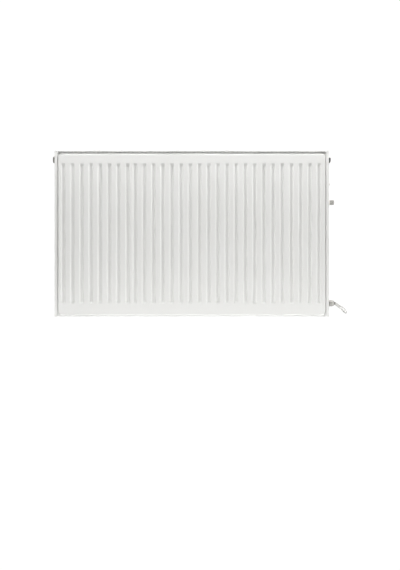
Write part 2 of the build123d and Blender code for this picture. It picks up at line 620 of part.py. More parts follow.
# ------------------------------------------------------------ hanging lugs, brackets, catches
BACK = -WALL_GAP
LIP = (-22.5, -20.0)                # the lug's lip in the hook's notch
SHELF_UP = 3.0                      # lug shelf above the hook arm
LUG_DOWN = 30.0                     # lug plate below the hook arm's top


def make_lug(x, hook):
    """A lug welded to the rear panel: a plate, a shelf over the hook and a lip in its notch."""
    sides = (x - LUG_W / 2, x + LUG_W / 2)
    shelf = (hook + SHELF_UP, hook + SHELF_UP + LUG_T)
    lug = box(sides, (BACK, BACK + LUG_T), (hook - LUG_DOWN, shelf[1]))
    lug += box(sides, (BACK, LIP[1]), shelf)
    return lug + box(sides, LIP, (hook - NOTCH_DEEP + PAD_WALL, shelf[1]))


def make_pad(x, hook):
    """The plastic liner of one hook's notch, across both arms of the hook."""
    sides = (x - RAIL_W / 2 - 1.5, x + RAIL_W / 2 + 1.5)
    play = 0.05
    pad = box(sides, (NOTCH[0] + play, NOTCH[1] - play), (hook - NOTCH_DEEP, hook + 1))
    return pad - box(
        sides, (NOTCH[0] + PAD_WALL, NOTCH[1] - PAD_WALL), (hook - NOTCH_DEEP + PAD_WALL, hook + 1)
    )


STUD_R, STUD_HEAD_R, STUD_HEAD_T = 3.0, 5.5, 1.6
CATCH_GAP = 0.3
CATCH_Y = (-RAIL_T - CATCH_GAP - CATCH_T, -RAIL_T - CATCH_GAP)
CATCH_LOW = HOOKS[0] + SHELF_UP + LUG_T + 1.0
CATCH_HIGH = CATCH_LOW + 52.0
THUMB_Y = -16.0                     # end of the catch's thumb tab
STUD_Z = CATCH_LOW + 30.0


def make_bracket(x):
    """Wall rail: a channel against the wall with two pairs of notched hook arms."""
    a, b = x - RAIL_W / 2, x + RAIL_W / 2
    rail = box((a, b), (-RAIL_T, 0), (RAIL_LOW, RAIL_HIGH))
    for side in ((a, a + RAIL_T), (b - RAIL_T, b)):
        rail += box(side, (-FLANGE_OUT, 0), (RAIL_LOW, RAIL_HIGH))
        for hook in HOOKS:
            arm = box(side, (-HOOK_OUT, 0), (hook - HOOK_TALL, hook))
            rail += arm - box(side, NOTCH, (hook - NOTCH_DEEP, hook))
    for z in (-SCREW_Z, SCREW_Z):
        rail -= rod_y(SCREW_HOLE, x, (-RAIL_T, 0), z)
    rail += rod_y(STUD_R, x, (CATCH_Y[0] - CATCH_GAP, -RAIL_T), STUD_Z)
    rail += rod_y(STUD_HEAD_R, x, (CATCH_Y[0] - CATCH_GAP - STUD_HEAD_T, CATCH_Y[0] - CATCH_GAP), STUD_Z)
    return rail


def make_catch(x):
    """Anti-lift catch: a plate sliding on the rail, its finger above the lug's shelf."""
    a, b = x - CATCH_W / 2, x + CATCH_W / 2
    catch = box((a, b), CATCH_Y, (CATCH_LOW, CATCH_HIGH))
    catch += box((a, b), (LIP[0] + 2, CATCH_Y[1]), (CATCH_LOW, CATCH_LOW + CATCH_T))
    catch += box((a, b), (THUMB_Y, CATCH_Y[1]), (CATCH_HIGH - CATCH_T, CATCH_HIGH))
    slot_mid = STUD_Z - CATCH_TRAVEL / 2
    slot_r = STUD_R + CATCH_GAP
    slot = Pos(x, (CATCH_Y[0] + CATCH_Y[1]) / 2, slot_mid) * Rot(90, 0, 0) * extrude(
        SlotOverall(CATCH_TRAVEL + 2 * slot_r, 2 * slot_r, rotation=90), amount=CATCH_T, both=True
    )
    return catch - slot


hook_places = [(x, hook) for x in (-BRACKET_X, BRACKET_X) for hook in HOOKS]
parts["hanging_lugs"] = Compound(children=[make_lug(x, hook) for x, hook in hook_places])
parts["hook_pads"] = Compound(children=[make_pad(x, hook) for x, hook in hook_places])

TIE_T, TIE_W = 1.0, 9.0             # strap round the coil and through the rail's flange
TIE_X = (BRACKET_X + RAIL_W / 2 - 8, COIL_X - COIL_R + 14.0)
TIE_Y = (COIL_Y - COIL_THICK_Y / 2 - 2.0, -8.0)
TIE_MID = Pos(sum(TIE_X) / 2, sum(TIE_Y) / 2)
TIE_SIZE = (TIE_X[1] - TIE_X[0], TIE_Y[1] - TIE_Y[0])
TIE_HOLE = 1.0
strap = TIE_MID * RectangleRounded(*TIE_SIZE, 5.0)
strap -= TIE_MID * RectangleRounded(TIE_SIZE[0] - 2 * TIE_T, TIE_SIZE[1] - 2 * TIE_T, 4.0)
parts["coil_tie"] = Pos(0, 0, COIL_Z - TIE_W / 2) * extrude(strap, TIE_W)
parts["wall_bracket_left"] = make_bracket(-BRACKET_X)
parts["wall_bracket_right"] = make_bracket(BRACKET_X) - box(
    (BRACKET_X + RAIL_W / 2 - RAIL_T, BRACKET_X + RAIL_W / 2),
    (TIE_Y[1] - TIE_T - TIE_HOLE, TIE_Y[1] + TIE_HOLE),
    (COIL_Z - TIE_W / 2 - TIE_HOLE, COIL_Z + TIE_W / 2 + TIE_HOLE),
)
parts["anti_lift_catch_left"] = make_catch(-BRACKET_X)
parts["anti_lift_catch_right"] = make_catch(BRACKET_X)


# ------------------------------------------------------------ mains cord, coil, tie, plug
cord_route = [
    tuple(CORD_START), (562.6, -98.0, BASE + 29.7), (572.0, -89.9, BASE + 18.9),
    (576.3, -75.7, BASE + 11.3), (576.0, -58.5, BASE + 10.9), (570.6, -43.8, BASE + 17.3),
    (560.4, -34.9, BASE + 27.7), (547.0, -31.6, BASE + 39.0), (531.0, -30.0, BASE + 48.5),
    (511.0, -28.6, BASE + 57.0), (491.0, -28.0, BASE + 72.0), (475.0, -28.0, BASE + 95.0),
    (466.0, -28.0, BASE + 124.0), (COIL_X + COIL_R, COIL_Y, BASE + 158.0),
    (COIL_X + COIL_R, COIL_Y, COIL_Z),
]
parts["mains_cord"] = tube_along(cord_route, CORD_D / 2)

ring = Pos(COIL_R, 0) * RectangleRounded(COIL_THICK_R, COIL_THICK_Y, 4.5)
parts["cord_coil"] = Pos(COIL_X, COIL_Y, COIL_Z) * revolve(ring, axis=Axis.Y)

PLUG_X, PLUG_Y = COIL_X - COIL_R, -24.0
PLUG_TOP = BASE + 128.0
tail_route = [
    (COIL_X - COIL_R, COIL_Y, COIL_Z),
    (COIL_X - COIL_R, COIL_Y, BASE + 169.0),
    (PLUG_X, PLUG_Y, BASE + 149.0),
    (PLUG_X, PLUG_Y, PLUG_TOP),
]
parts["cord_tail"] = tube_along(tail_route, CORD_D / 2)

plug_profile = [
    (0, 0), (3.6, 0), (5.0, -PLUG_NECK), (8, -17), (15, -20), (PLUG_R, -24),
    (PLUG_R, -PLUG_NECK - PLUG_LONG), (0, -PLUG_NECK - PLUG_LONG),
]
plug = revolve(Plane.XZ * make_face(Polyline(*plug_profile, close=True)), axis=Axis.Z)
plug = Pos(PLUG_X, PLUG_Y, PLUG_TOP) * plug
PLUG_FACE = PLUG_TOP - PLUG_NECK - PLUG_LONG
STRIP_W, STRIP_T, STRIP_IN, STRIP_LONG = 6.0, 0.8, 2.0, 14.0
STRIP_PLAY = 0.1
strips = []
for side in (-1, 1):
    outer_y = PLUG_Y + side * PLUG_R
    strip = box(
        (PLUG_X - STRIP_W / 2, PLUG_X + STRIP_W / 2),
        (outer_y - side * STRIP_IN, outer_y - side * (STRIP_IN - STRIP_T)),
        (PLUG_FACE, PLUG_FACE + STRIP_LONG),
    )
    groove = box(
        (PLUG_X - STRIP_W / 2 - STRIP_PLAY, PLUG_X + STRIP_W / 2 + STRIP_PLAY),
        (outer_y - side * STRIP_IN, outer_y + side * STRIP_IN),
        (PLUG_FACE, PLUG_FACE + STRIP_LONG + STRIP_PLAY),
    )
    plug -= groove
    strips.append(strip)
parts["plug_body"] = plug
parts["plug_earth_strips"] = Compound(children=strips)
parts["plug_pins"] = Compound(
    children=[
        rod_z(PIN_R, PLUG_X + side * PIN_APART / 2, PLUG_Y, (PLUG_FACE - PIN_LONG, PLUG_FACE))
        for side in (-1, 1)
    ]
)

# ------------------------------------------------------------ output
os.makedirs("parts", exist_ok=True)
for name, shape in parts.items():
    export_step(shape, f"parts/{name}.step")
print(len(parts), "parts written")
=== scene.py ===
# Looks of an electric, liquid-filled steel panel radiator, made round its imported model.
# Metres. +X is to the right of a person facing it, +Y goes into the wall, +Z is up.

import logging
import math
from dataclasses import dataclass
from enum import Enum
from typing import Callable, Sequence

import bmesh
import bpy
import numpy as np
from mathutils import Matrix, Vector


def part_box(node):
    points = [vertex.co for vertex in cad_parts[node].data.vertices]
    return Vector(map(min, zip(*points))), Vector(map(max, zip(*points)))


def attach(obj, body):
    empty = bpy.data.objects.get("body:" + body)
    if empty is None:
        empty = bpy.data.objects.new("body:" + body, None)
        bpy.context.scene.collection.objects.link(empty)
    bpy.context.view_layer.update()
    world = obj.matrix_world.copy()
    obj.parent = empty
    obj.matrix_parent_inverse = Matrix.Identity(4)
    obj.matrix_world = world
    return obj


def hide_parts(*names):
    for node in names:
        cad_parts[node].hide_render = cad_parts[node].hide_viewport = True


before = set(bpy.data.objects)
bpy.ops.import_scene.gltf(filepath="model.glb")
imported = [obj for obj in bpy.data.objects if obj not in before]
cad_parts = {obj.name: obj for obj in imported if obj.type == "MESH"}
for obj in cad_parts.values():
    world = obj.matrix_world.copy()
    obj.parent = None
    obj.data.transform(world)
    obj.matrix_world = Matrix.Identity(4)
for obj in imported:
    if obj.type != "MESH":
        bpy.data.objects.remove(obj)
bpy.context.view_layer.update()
LOG = logging.getLogger("radiator")
Array = np.ndarray
MM = 0.001
FULL_TURN = 2 * math.pi


# ---------------------------------------------------------------- surfaces
@dataclass(frozen=True)
class Shape:
    """A surface: rows of x, y, z, four-sided faces of them, and flat faces of many sides."""

    points: Array
    quads: Array
    caps: tuple[Array, ...] = ()

    def placed(self, at: Sequence[float], along: Sequence[float] = (1.0, 0.0, 0.0)) -> "Shape":
        """The shape with its local X axis turned along a direction, and its origin moved.

        Args:
            at: where the local origin goes.
            along: the direction of the local X axis.
        Returns:
            The placed shape.
        """
        return Shape(self.points @ turn_to(along) + np.asarray(at), self.quads, self.caps)


def turn_to(direction: Sequence[float]) -> Array:
    """Three rows at right angles to each other, the first of them along a direction.

    Args:
        direction: the direction, of any length.
    Returns:
        The turn, as an array of 3 by 3 that goes after a row of x, y, z.
    """
    first = np.asarray(direction, float) / np.linalg.norm(direction)
    helper = (0.0, 1.0, 0.0) if abs(first[1]) < 0.9 else (1.0, 0.0, 0.0)
    third = np.cross(first, helper)
    third /= np.linalg.norm(third)
    return np.array([first, np.cross(third, first), third])


def joined(shapes: Sequence[Shape]) -> Shape:
    """Several shapes as one: their points one after another, and their faces numbered on.

    Args:
        shapes: the shapes.
    Returns:
        The joined shape.
    """
    starts = np.cumsum([0] + [len(shape.points) for shape in shapes])
    quads = [shape.quads + start for shape, start in zip(shapes, starts)]
    caps = [cap + start for shape, start in zip(shapes, starts) for cap in shape.caps]
    return Shape(np.concatenate([s.points for s in shapes]), np.concatenate(quads), tuple(caps))


def grid(points: Array, wrap_rows: bool = False, wrap_columns: bool = False) -> Shape:
    """Joins points laid out in rows and columns into four-sided faces.

    Args:
        points: an array of rows by columns by 3.
        wrap_rows: whether the last row meets the first.
        wrap_columns: whether the last column meets the first.
    Returns:
        The surface.
    """
    rows, columns = points.shape[:2]
    row = np.arange(rows if wrap_rows else rows - 1)[:, None]
    column = np.arange(columns if wrap_columns else columns - 1)[None, :]
    next_row, next_column = (row + 1) % rows, (column + 1) % columns
    corners = (
        row * columns + column, row * columns + next_column,
        next_row * columns + next_column, next_row * columns + column,
    )
    return Shape(points.reshape(-1, 3), np.stack(corners, axis=-1).reshape(-1, 4))


def loft(outlines: Array) -> Shape:
    """A closed skin through outlines of equal counts of points, with a flat face at each end.

    Args:
        outlines: an array of outlines by points by 3.
    Returns:
        The closed shape.
    """
    skin = grid(outlines, wrap_columns=True)
    count = outlines.shape[1]
    last = (len(outlines) - 1) * count
    return Shape(skin.points, skin.quads, (np.arange(count)[::-1], last + np.arange(count)))


def eased(
    corners: Sequence[Sequence[float]], cuts: float | Sequence[float], steps: int = 4
) -> Array:
    """An outline with its corners eased.

    A corner C becomes the curve (1-t)^2 A + 2t(1-t) C + t^2 B, where A and B lie on its two sides
    at the cut distance from it.

    Args:
        corners: the outline's corners, in order.
        cuts: the cut distance, one for all or one for each corner.
        steps: how many straight pieces each curve has.
    Returns:
        The points of the eased outline.
    """
    corner = np.asarray(corners, float)
    cut = np.broadcast_to(np.asarray(cuts, float), len(corner))[:, None]
    before, after = np.roll(corner, 1, axis=0) - corner, np.roll(corner, -1, axis=0) - corner
    start = corner + cut * before / np.linalg.norm(before, axis=1, keepdims=True)
    end = corner + cut * after / np.linalg.norm(after, axis=1, keepdims=True)
    t = np.linspace(0, 1, steps + 1)[None, :, None]
    curve = (1 - t) ** 2 * start[:, None] + 2 * t * (1 - t) * corner[:, None] + t**2 * end[:, None]
    return curve.reshape(-1, 2)


def lathe(
    profile: Array,
    sides: int = 48,
    ring: bool = False,
    reshape: Callable[[Array, Array, Array], Array] | None = None,
) -> Shape:
    """Turns a profile about the local X axis.

    A profile point at distance s with radius r gives the circle of points (s, r cos a, r sin a).

    Args:
        profile: rows of s and r.
        sides: how many angles a there are.
        ring: whether the profile is a closed loop that stays off the axis.
        reshape: gives the radius as a function of s, r and a, where the part isn't round.
    Returns:
        The turned surface.
    """
    angle = np.linspace(0, FULL_TURN, sides, endpoint=False)[None, :]
    along, radius = profile[:, :1] + 0 * angle, profile[:, 1:] + 0 * angle
    if reshape is not None:
        radius = reshape(along, radius, angle + 0 * radius)
    points = np.stack([along, radius * np.cos(angle), radius * np.sin(angle)], axis=-1)
    return grid(points, wrap_rows=ring, wrap_columns=True)


def block(low: Sequence[float], high: Sequence[float]) -> Shape:
    """A block between two opposite corners, for a Bevel modifier to round.

    Args:
        low: the corner with the least x, y and z.
        high: the opposite corner.
    Returns:
        The block.
    """
    (x0, y0, z0), (x1, y1, z1) = low, high
    outline = np.array([(x0, y0), (x1, y0), (x1, y1), (x0, y1)])
    heights = np.array([z0, z1])
    points = np.concatenate([np.c_[outline, np.full(4, height)] for height in heights])
    return loft(points.reshape(2, 4, 3))


def rounded_rectangle(width: float, height: float, radius: float, steps: int = 6) -> Array:
    """A rectangle centred on the origin, each corner an arc in equal steps of angle.

    Args:
        width: its size along the first axis.
        height: its size along the second axis.
        radius: of its corners.
        steps: how many straight pieces each corner has.
    Returns:
        The points, anticlockwise.
    """
    angle = np.linspace(0, math.pi / 2, steps + 1)
    quarter = np.arange(4)[:, None]
    turned = angle[None, :] + quarter * math.pi / 2
    centre_x = np.array([1, -1, -1, 1])[:, None] * (width / 2 - radius)
    centre_y = np.array([1, 1, -1, -1])[:, None] * (height / 2 - radius)
    x, y = centre_x + radius * np.cos(turned), centre_y + radius * np.sin(turned)
    return np.stack([x, y], axis=-1).reshape(-1, 2)


def smooth_step(value: Array) -> Array:
    """3t^2 - 2t^3 of the value held between 0 and 1."""
    t = np.clip(value, 0, 1)
    return t * t * (3 - 2 * t)


# ---------------------------------------------------------------- finishes
class Grain(Enum):
    """How the surface was made, which sets its fine relief."""

    ORANGE_PEEL = "sprayed and baked"
    SPANGLE = "hot-dip zinc crystals"
    DRAWN = "drawn or turned along X"
    MOULDED = "spark-eroded mould"
    BRAIDED = "braided threads"


Value = float | tuple | bpy.types.NodeSocket


def add_node(
    tree: bpy.types.NodeTree, kind: str, settings: dict[str, object], inputs: dict[str | int, Value]
) -> bpy.types.Node:
    """Adds one node.

    Args:
        tree: the node tree.
        kind: the node's type.
        settings: its own properties.
        inputs: for each input, a constant or the output it is linked to.
    Returns:
        The node.
    """
    node = tree.nodes.new(kind)
    for key, value in settings.items():
        setattr(node, key, value)
    for key, value in inputs.items():
        if isinstance(value, bpy.types.NodeSocket):
            tree.links.new(value, node.inputs[key])
        else:
            node.inputs[key].default_value = value
    return node


def linear(code: str) -> tuple[float, float, float, float]:
    """An sRGB hex colour as linear red, green, blue and alpha.

    Args:
        code: six hex digits.
    Returns:
        The four channels.
    """
    channel = np.array([int(code[i:i + 2], 16) for i in (0, 2, 4)]) / 255
    light = np.where(channel <= 0.04045, channel / 12.92, ((channel + 0.055) / 1.055) ** 2.4)
    return (*light.tolist(), 1.0)


@dataclass(frozen=True)
class Finish:
    """A finish of one material slot: its colours, its gloss and its fine relief.

    Args:
        name: what the finish is.
        slot: the name of its material slot, not used in this script.
        colour: its main colour, sRGB hex.
        shade: the colour that it drifts to in patches, sRGB hex.
        roughness: lowest and highest roughness over its grain.
        grain: how it was made.
        grain_mm: width of one grain.
        relief_mm: height of the grain.
        metallic: 1 for bare metal.
        ior: refractive index, left at its default on metals.
        patch_mm: width of a patch of colour.
    """

    name: str
    slot: str
    colour: str
    shade: str
    roughness: tuple[float, float]
    grain: Grain
    grain_mm: float
    relief_mm: float
    metallic: float = 0.0
    ior: float = 1.5
    patch_mm: float = 140.0

    def grain_height(
        self, tree: bpy.types.NodeTree, place: bpy.types.NodeSocket
    ) -> bpy.types.NodeSocket:
        """The grain as a height from 0 to 1.

        Args:
            tree: the node tree.
            place: the piece's own coordinates, in metres.
        Returns:
            The output that carries the height.
        """
        per_metre = 1 / (self.grain_mm * MM)
        if self.grain is Grain.SPANGLE:
            cells = add_node(tree, "ShaderNodeTexVoronoi", {}, {"Vector": place, "Scale": per_metre})
            tone = add_node(tree, "ShaderNodeSeparateColor", {}, {"Color": cells.outputs["Color"]})
            return tone.outputs["Red"]
        if self.grain is Grain.BRAIDED:
            threads = []
            for slope in (-45, 45):
                turned = add_node(
                    tree, "ShaderNodeMapping", {},
                    {"Vector": place, "Rotation": (0.0, math.radians(slope), math.radians(slope))},
                )
                wave = add_node(
                    tree, "ShaderNodeTexWave", {"bands_direction": "DIAGONAL"},
                    {"Vector": turned.outputs[0], "Scale": per_metre / 20},
                )
                threads.append(wave.outputs["Fac"])
            over = add_node(
                tree, "ShaderNodeMath", {"operation": "MAXIMUM"}, {0: threads[0], 1: threads[1]}
            )
            return over.outputs[0]
        stretch = (0.04, 1.0, 1.0) if self.grain is Grain.DRAWN else (1.0, 1.0, 1.0)
        scaled = add_node(tree, "ShaderNodeMapping", {}, {"Vector": place, "Scale": stretch})
        noise = add_node(
            tree, "ShaderNodeTexNoise", {},
            {"Vector": scaled.outputs[0], "Scale": per_metre, "Detail": 2.0, "Roughness": 0.5},
        )
        return noise.outputs["Fac"]

    def material(self) -> bpy.types.Material:
        """The finish as a node material, made on first use.

        Returns:
            The material.
        """
        found = bpy.data.materials.get(self.name)
        if found is not None:
            return found
        made = bpy.data.materials.new(self.name)
        made.use_nodes = True
        tree = made.node_tree
        tree.nodes.clear()
        place = add_node(tree, "ShaderNodeTexCoord", {}, {}).outputs["Object"]
        height = self.grain_height(tree, place)
        patches = add_node(
            tree, "ShaderNodeTexNoise", {},
            {"Vector": place, "Scale": 1 / (self.patch_mm * MM), "Detail": 1.0},
        )
        colour = add_node(
            tree, "ShaderNodeMix", {"data_type": "RGBA"},
            {0: patches.outputs["Fac"], 6: linear(self.colour), 7: linear(self.shade)},
        )
        rough = add_node(
            tree, "ShaderNodeMapRange", {},
            {"Value": height, "To Min": self.roughness[0], "To Max": self.roughness[1]},
        )
        relief = add_node(
            tree, "ShaderNodeBump", {}, {"Height": height, "Distance": self.relief_mm * MM}
        )
        shader = add_node(
            tree, "ShaderNodeBsdfPrincipled", {},
            {
                "Base Color": colour.outputs[2], "Roughness": rough.outputs[0],
                "Normal": relief.outputs[0], "Metallic": self.metallic, "IOR": self.ior,
            },
        )
        add_node(tree, "ShaderNodeOutputMaterial", {}, {"Surface": shader.outputs[0]})
        return made


# Polyester powder, sprayed and baked: even warm white, semi-gloss, a slight orange peel.
# The peel is drawn at 2.5 mm, about twice its real width, so that it shows.
WHITE_COAT = Finish(
    "baked_white_powder_coat", "white_paint", "E9E9E7", "E6E6E3", (0.27, 0.33),
    Grain.ORANGE_PEEL, 2.5, 0.012,
)
# Thin dipped primer on the convectors: flatter and a little greyer.
DIPPED_PRIMER = Finish(
    "dipped_white_primer", "convector_paint", "D9D9D6", "D2D2CE", (0.45, 0.55),
    Grain.ORANGE_PEEL, 4.0, 0.02,
)
# Galvanised sheet: zinc crystals some millimetres wide, each with its own gloss, in a grey that drifts in
# patches.
GALVANISED_STEEL = Finish(
    "galvanised_sheet_steel", "zinc_steel", "B4B6B8", "A3A6A9", (0.32, 0.52),
    Grain.SPANGLE, 7.0, 0.004, metallic=0.9, patch_mm=30.0,
)
# Satin nickel over turned brass: warm grey with a fine even grain.
SATIN_NICKEL = Finish(
    "satin_nickel_plate", "nickel", "D4D2CE", "C9C7C1", (0.32, 0.44),
    Grain.MOULDED, 0.7, 0.004, metallic=1.0, patch_mm=20.0,
)
# Drawn stainless steel: long fine lines along the bar.
DRAWN_STAINLESS = Finish(
    "drawn_stainless_steel", "element_steel", "A8A6A2", "999691", (0.28, 0.42),
    Grain.DRAWN, 0.5, 0.004, metallic=1.0, patch_mm=40.0,
)
# Stamped brass: yellow, with a dull rolled skin.
STAMPED_BRASS = Finish(
    "stamped_brass", "brass_contact", "D2B26A", "C29F57", (0.26, 0.38),
    Grain.MOULDED, 0.6, 0.004, metallic=1.0, patch_mm=12.0,
)
# Drawn copper tube, slightly tarnished.
DRAWN_COPPER = Finish(
    "drawn_copper", "copper", "C47A55", "A9664A", (0.28, 0.42),
    Grain.MOULDED, 0.8, 0.004, metallic=1.0, patch_mm=15.0,
)
# EPDM rubber: black, matt, faintly dusty.
EPDM_RUBBER = Finish(
    "matt_epdm_rubber", "seal_rubber", "2A2A2A", "343433", (0.62, 0.78),
    Grain.MOULDED, 0.6, 0.02, patch_mm=8.0,
)
# Glass-filled nylon, black: fine spark-eroded texture.
BLACK_NYLON = Finish(
    "moulded_black_nylon", "black_plastic", "26272A", "1F2022", (0.38, 0.52),
    Grain.MOULDED, 0.5, 0.015, ior=1.53, patch_mm=10.0,
)
# Nylon, mid grey: the knob and the terminal cap.
GREY_NYLON = Finish(
    "moulded_grey_nylon", "grey_plastic", "BDBBB7", "B5B3AE", (0.36, 0.48),
    Grain.MOULDED, 0.6, 0.015, ior=1.53, patch_mm=15.0,
)
# Nylon, dark grey: the gland and the thermostat's body.
DARK_NYLON = Finish(
    "moulded_dark_grey_nylon", "dark_grey_plastic", "6E6C69", "66645F", (0.4, 0.52),
    Grain.MOULDED, 0.6, 0.015, ior=1.53, patch_mm=15.0,
)
# ABS, off-white: smooth and slightly glossy, as switch parts are.
OFF_WHITE_ABS = Finish(
    "moulded_off_white_abs", "pale_plastic", "E6E4DE", "E0DDD6", (0.24, 0.32),
    Grain.MOULDED, 1.2, 0.006, ior=1.54, patch_mm=20.0,
)
# Soft PVC: pale grey, satin, a little uneven from extrusion.
SOFT_PVC = Finish(
    "extruded_pale_grey_pvc", "cord_pvc", "DDDCD9", "D5D4D0", (0.4, 0.5),
    Grain.MOULDED, 1.5, 0.02, ior=1.53, patch_mm=60.0,
)
# Varnished glass-fibre sleeve: cream, with crossing threads.
GLASS_SLEEVE = Finish(
    "braided_glass_sleeve", "wire_sleeve", "DDD8C6", "CFC9B4", (0.55, 0.7),
    Grain.BRAIDED, 1.2, 0.12, patch_mm=25.0,
)


# ---------------------------------------------------------------- pieces
def make_piece(
    name: str,
    shape: Shape,
    finish: Finish,
    body: str = "radiator",
    replaces: Sequence[str] = (),
    facing: Sequence[float] | None = None,
    modifiers: Sequence[tuple[str, dict[str, object]]] = (),
    sharp: float = 38.0,
) -> bpy.types.Object:
    """Makes a mesh object at the origin, dresses it and lets it ride.

    Doubled points, as at a pole, are merged. Faces are then turned one way: outwards on a closed
    shape, and to the given side on an open sheet.

    Args:
        name: the piece's name.
        shape: its surface.
        finish: its finish.
        body: the CAD body that it moves with.
        replaces: the CAD nodes that it stands for.
        facing: for an open sheet, the side that its faces look to.
        modifiers: kinds and settings of the modifiers that finish it.
        sharp: degrees above which an edge stays crisp.
    Returns:
        The object.
    """
    mesh = bpy.data.meshes.new(name)
    faces = shape.quads.tolist() + [cap.tolist() for cap in shape.caps]
    mesh.from_pydata(shape.points.tolist(), [], faces)
    work = bmesh.new()
    work.from_mesh(mesh)
    bmesh.ops.remove_doubles(work, verts=work.verts, dist=1e-6)
    bmesh.ops.dissolve_degenerate(work, edges=work.edges, dist=1e-7)
    bmesh.ops.recalc_face_normals(work, faces=work.faces)
    work.to_mesh(mesh)
    work.free()
    if facing is not None:
        normals = np.zeros(len(mesh.polygons) * 3)
        mesh.polygons.foreach_get("normal", normals)
        if np.dot(normals.reshape(-1, 3).sum(axis=0), facing) < 0:
            mesh.flip_normals()
    mesh.shade_smooth()
    mesh.set_sharp_from_angle(angle=math.radians(sharp))
    mesh.materials.append(finish.material())
    piece = bpy.data.objects.new(name, mesh)
    bpy.context.scene.collection.objects.link(piece)
    for kind, settings in modifiers:
        modifier = piece.modifiers.new(kind.title(), kind)
        for key, value in settings.items():
            setattr(modifier, key, value)
    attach(piece, body)
    if replaces:
        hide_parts(*replaces)
    LOG.info("piece %s rides on %s", name, body)
    return piece


def bevel(width_mm: float, segments: int = 3) -> tuple[str, dict[str, object]]:
    """A Bevel modifier that rounds every edge over 40 degrees.

    Args:
        width_mm: its width in millimetres.
        segments: its segments.
    Returns:
        The kind and the settings, as make_piece() takes them.
    """
    return "BEVEL", {
        "width": width_mm * MM, "segments": segments, "limit_method": "ANGLE",
        "angle_limit": math.radians(40),
    }


def dress(finish: Finish, *nodes: str) -> None:
    """Gives CAD nodes that keep their own shape a finish.

    Args:
        finish: the finish.
        nodes: the nodes' names.
    """
    for node in nodes:
        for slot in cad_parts[node].material_slots:
            slot.material = finish.material()
        LOG.info("node %s has %s", node, finish.name)


def middle(node: str) -> Array:
    """The centre of a CAD node's box."""
    low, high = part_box(node)
    return (np.array(low) + np.array(high)) / 2


# ---------------------------------------------------------------- water panels
class Side(Enum):
    """The way that a pressed sheet bulges along Y."""

    ROOM = -1
    WALL = 1


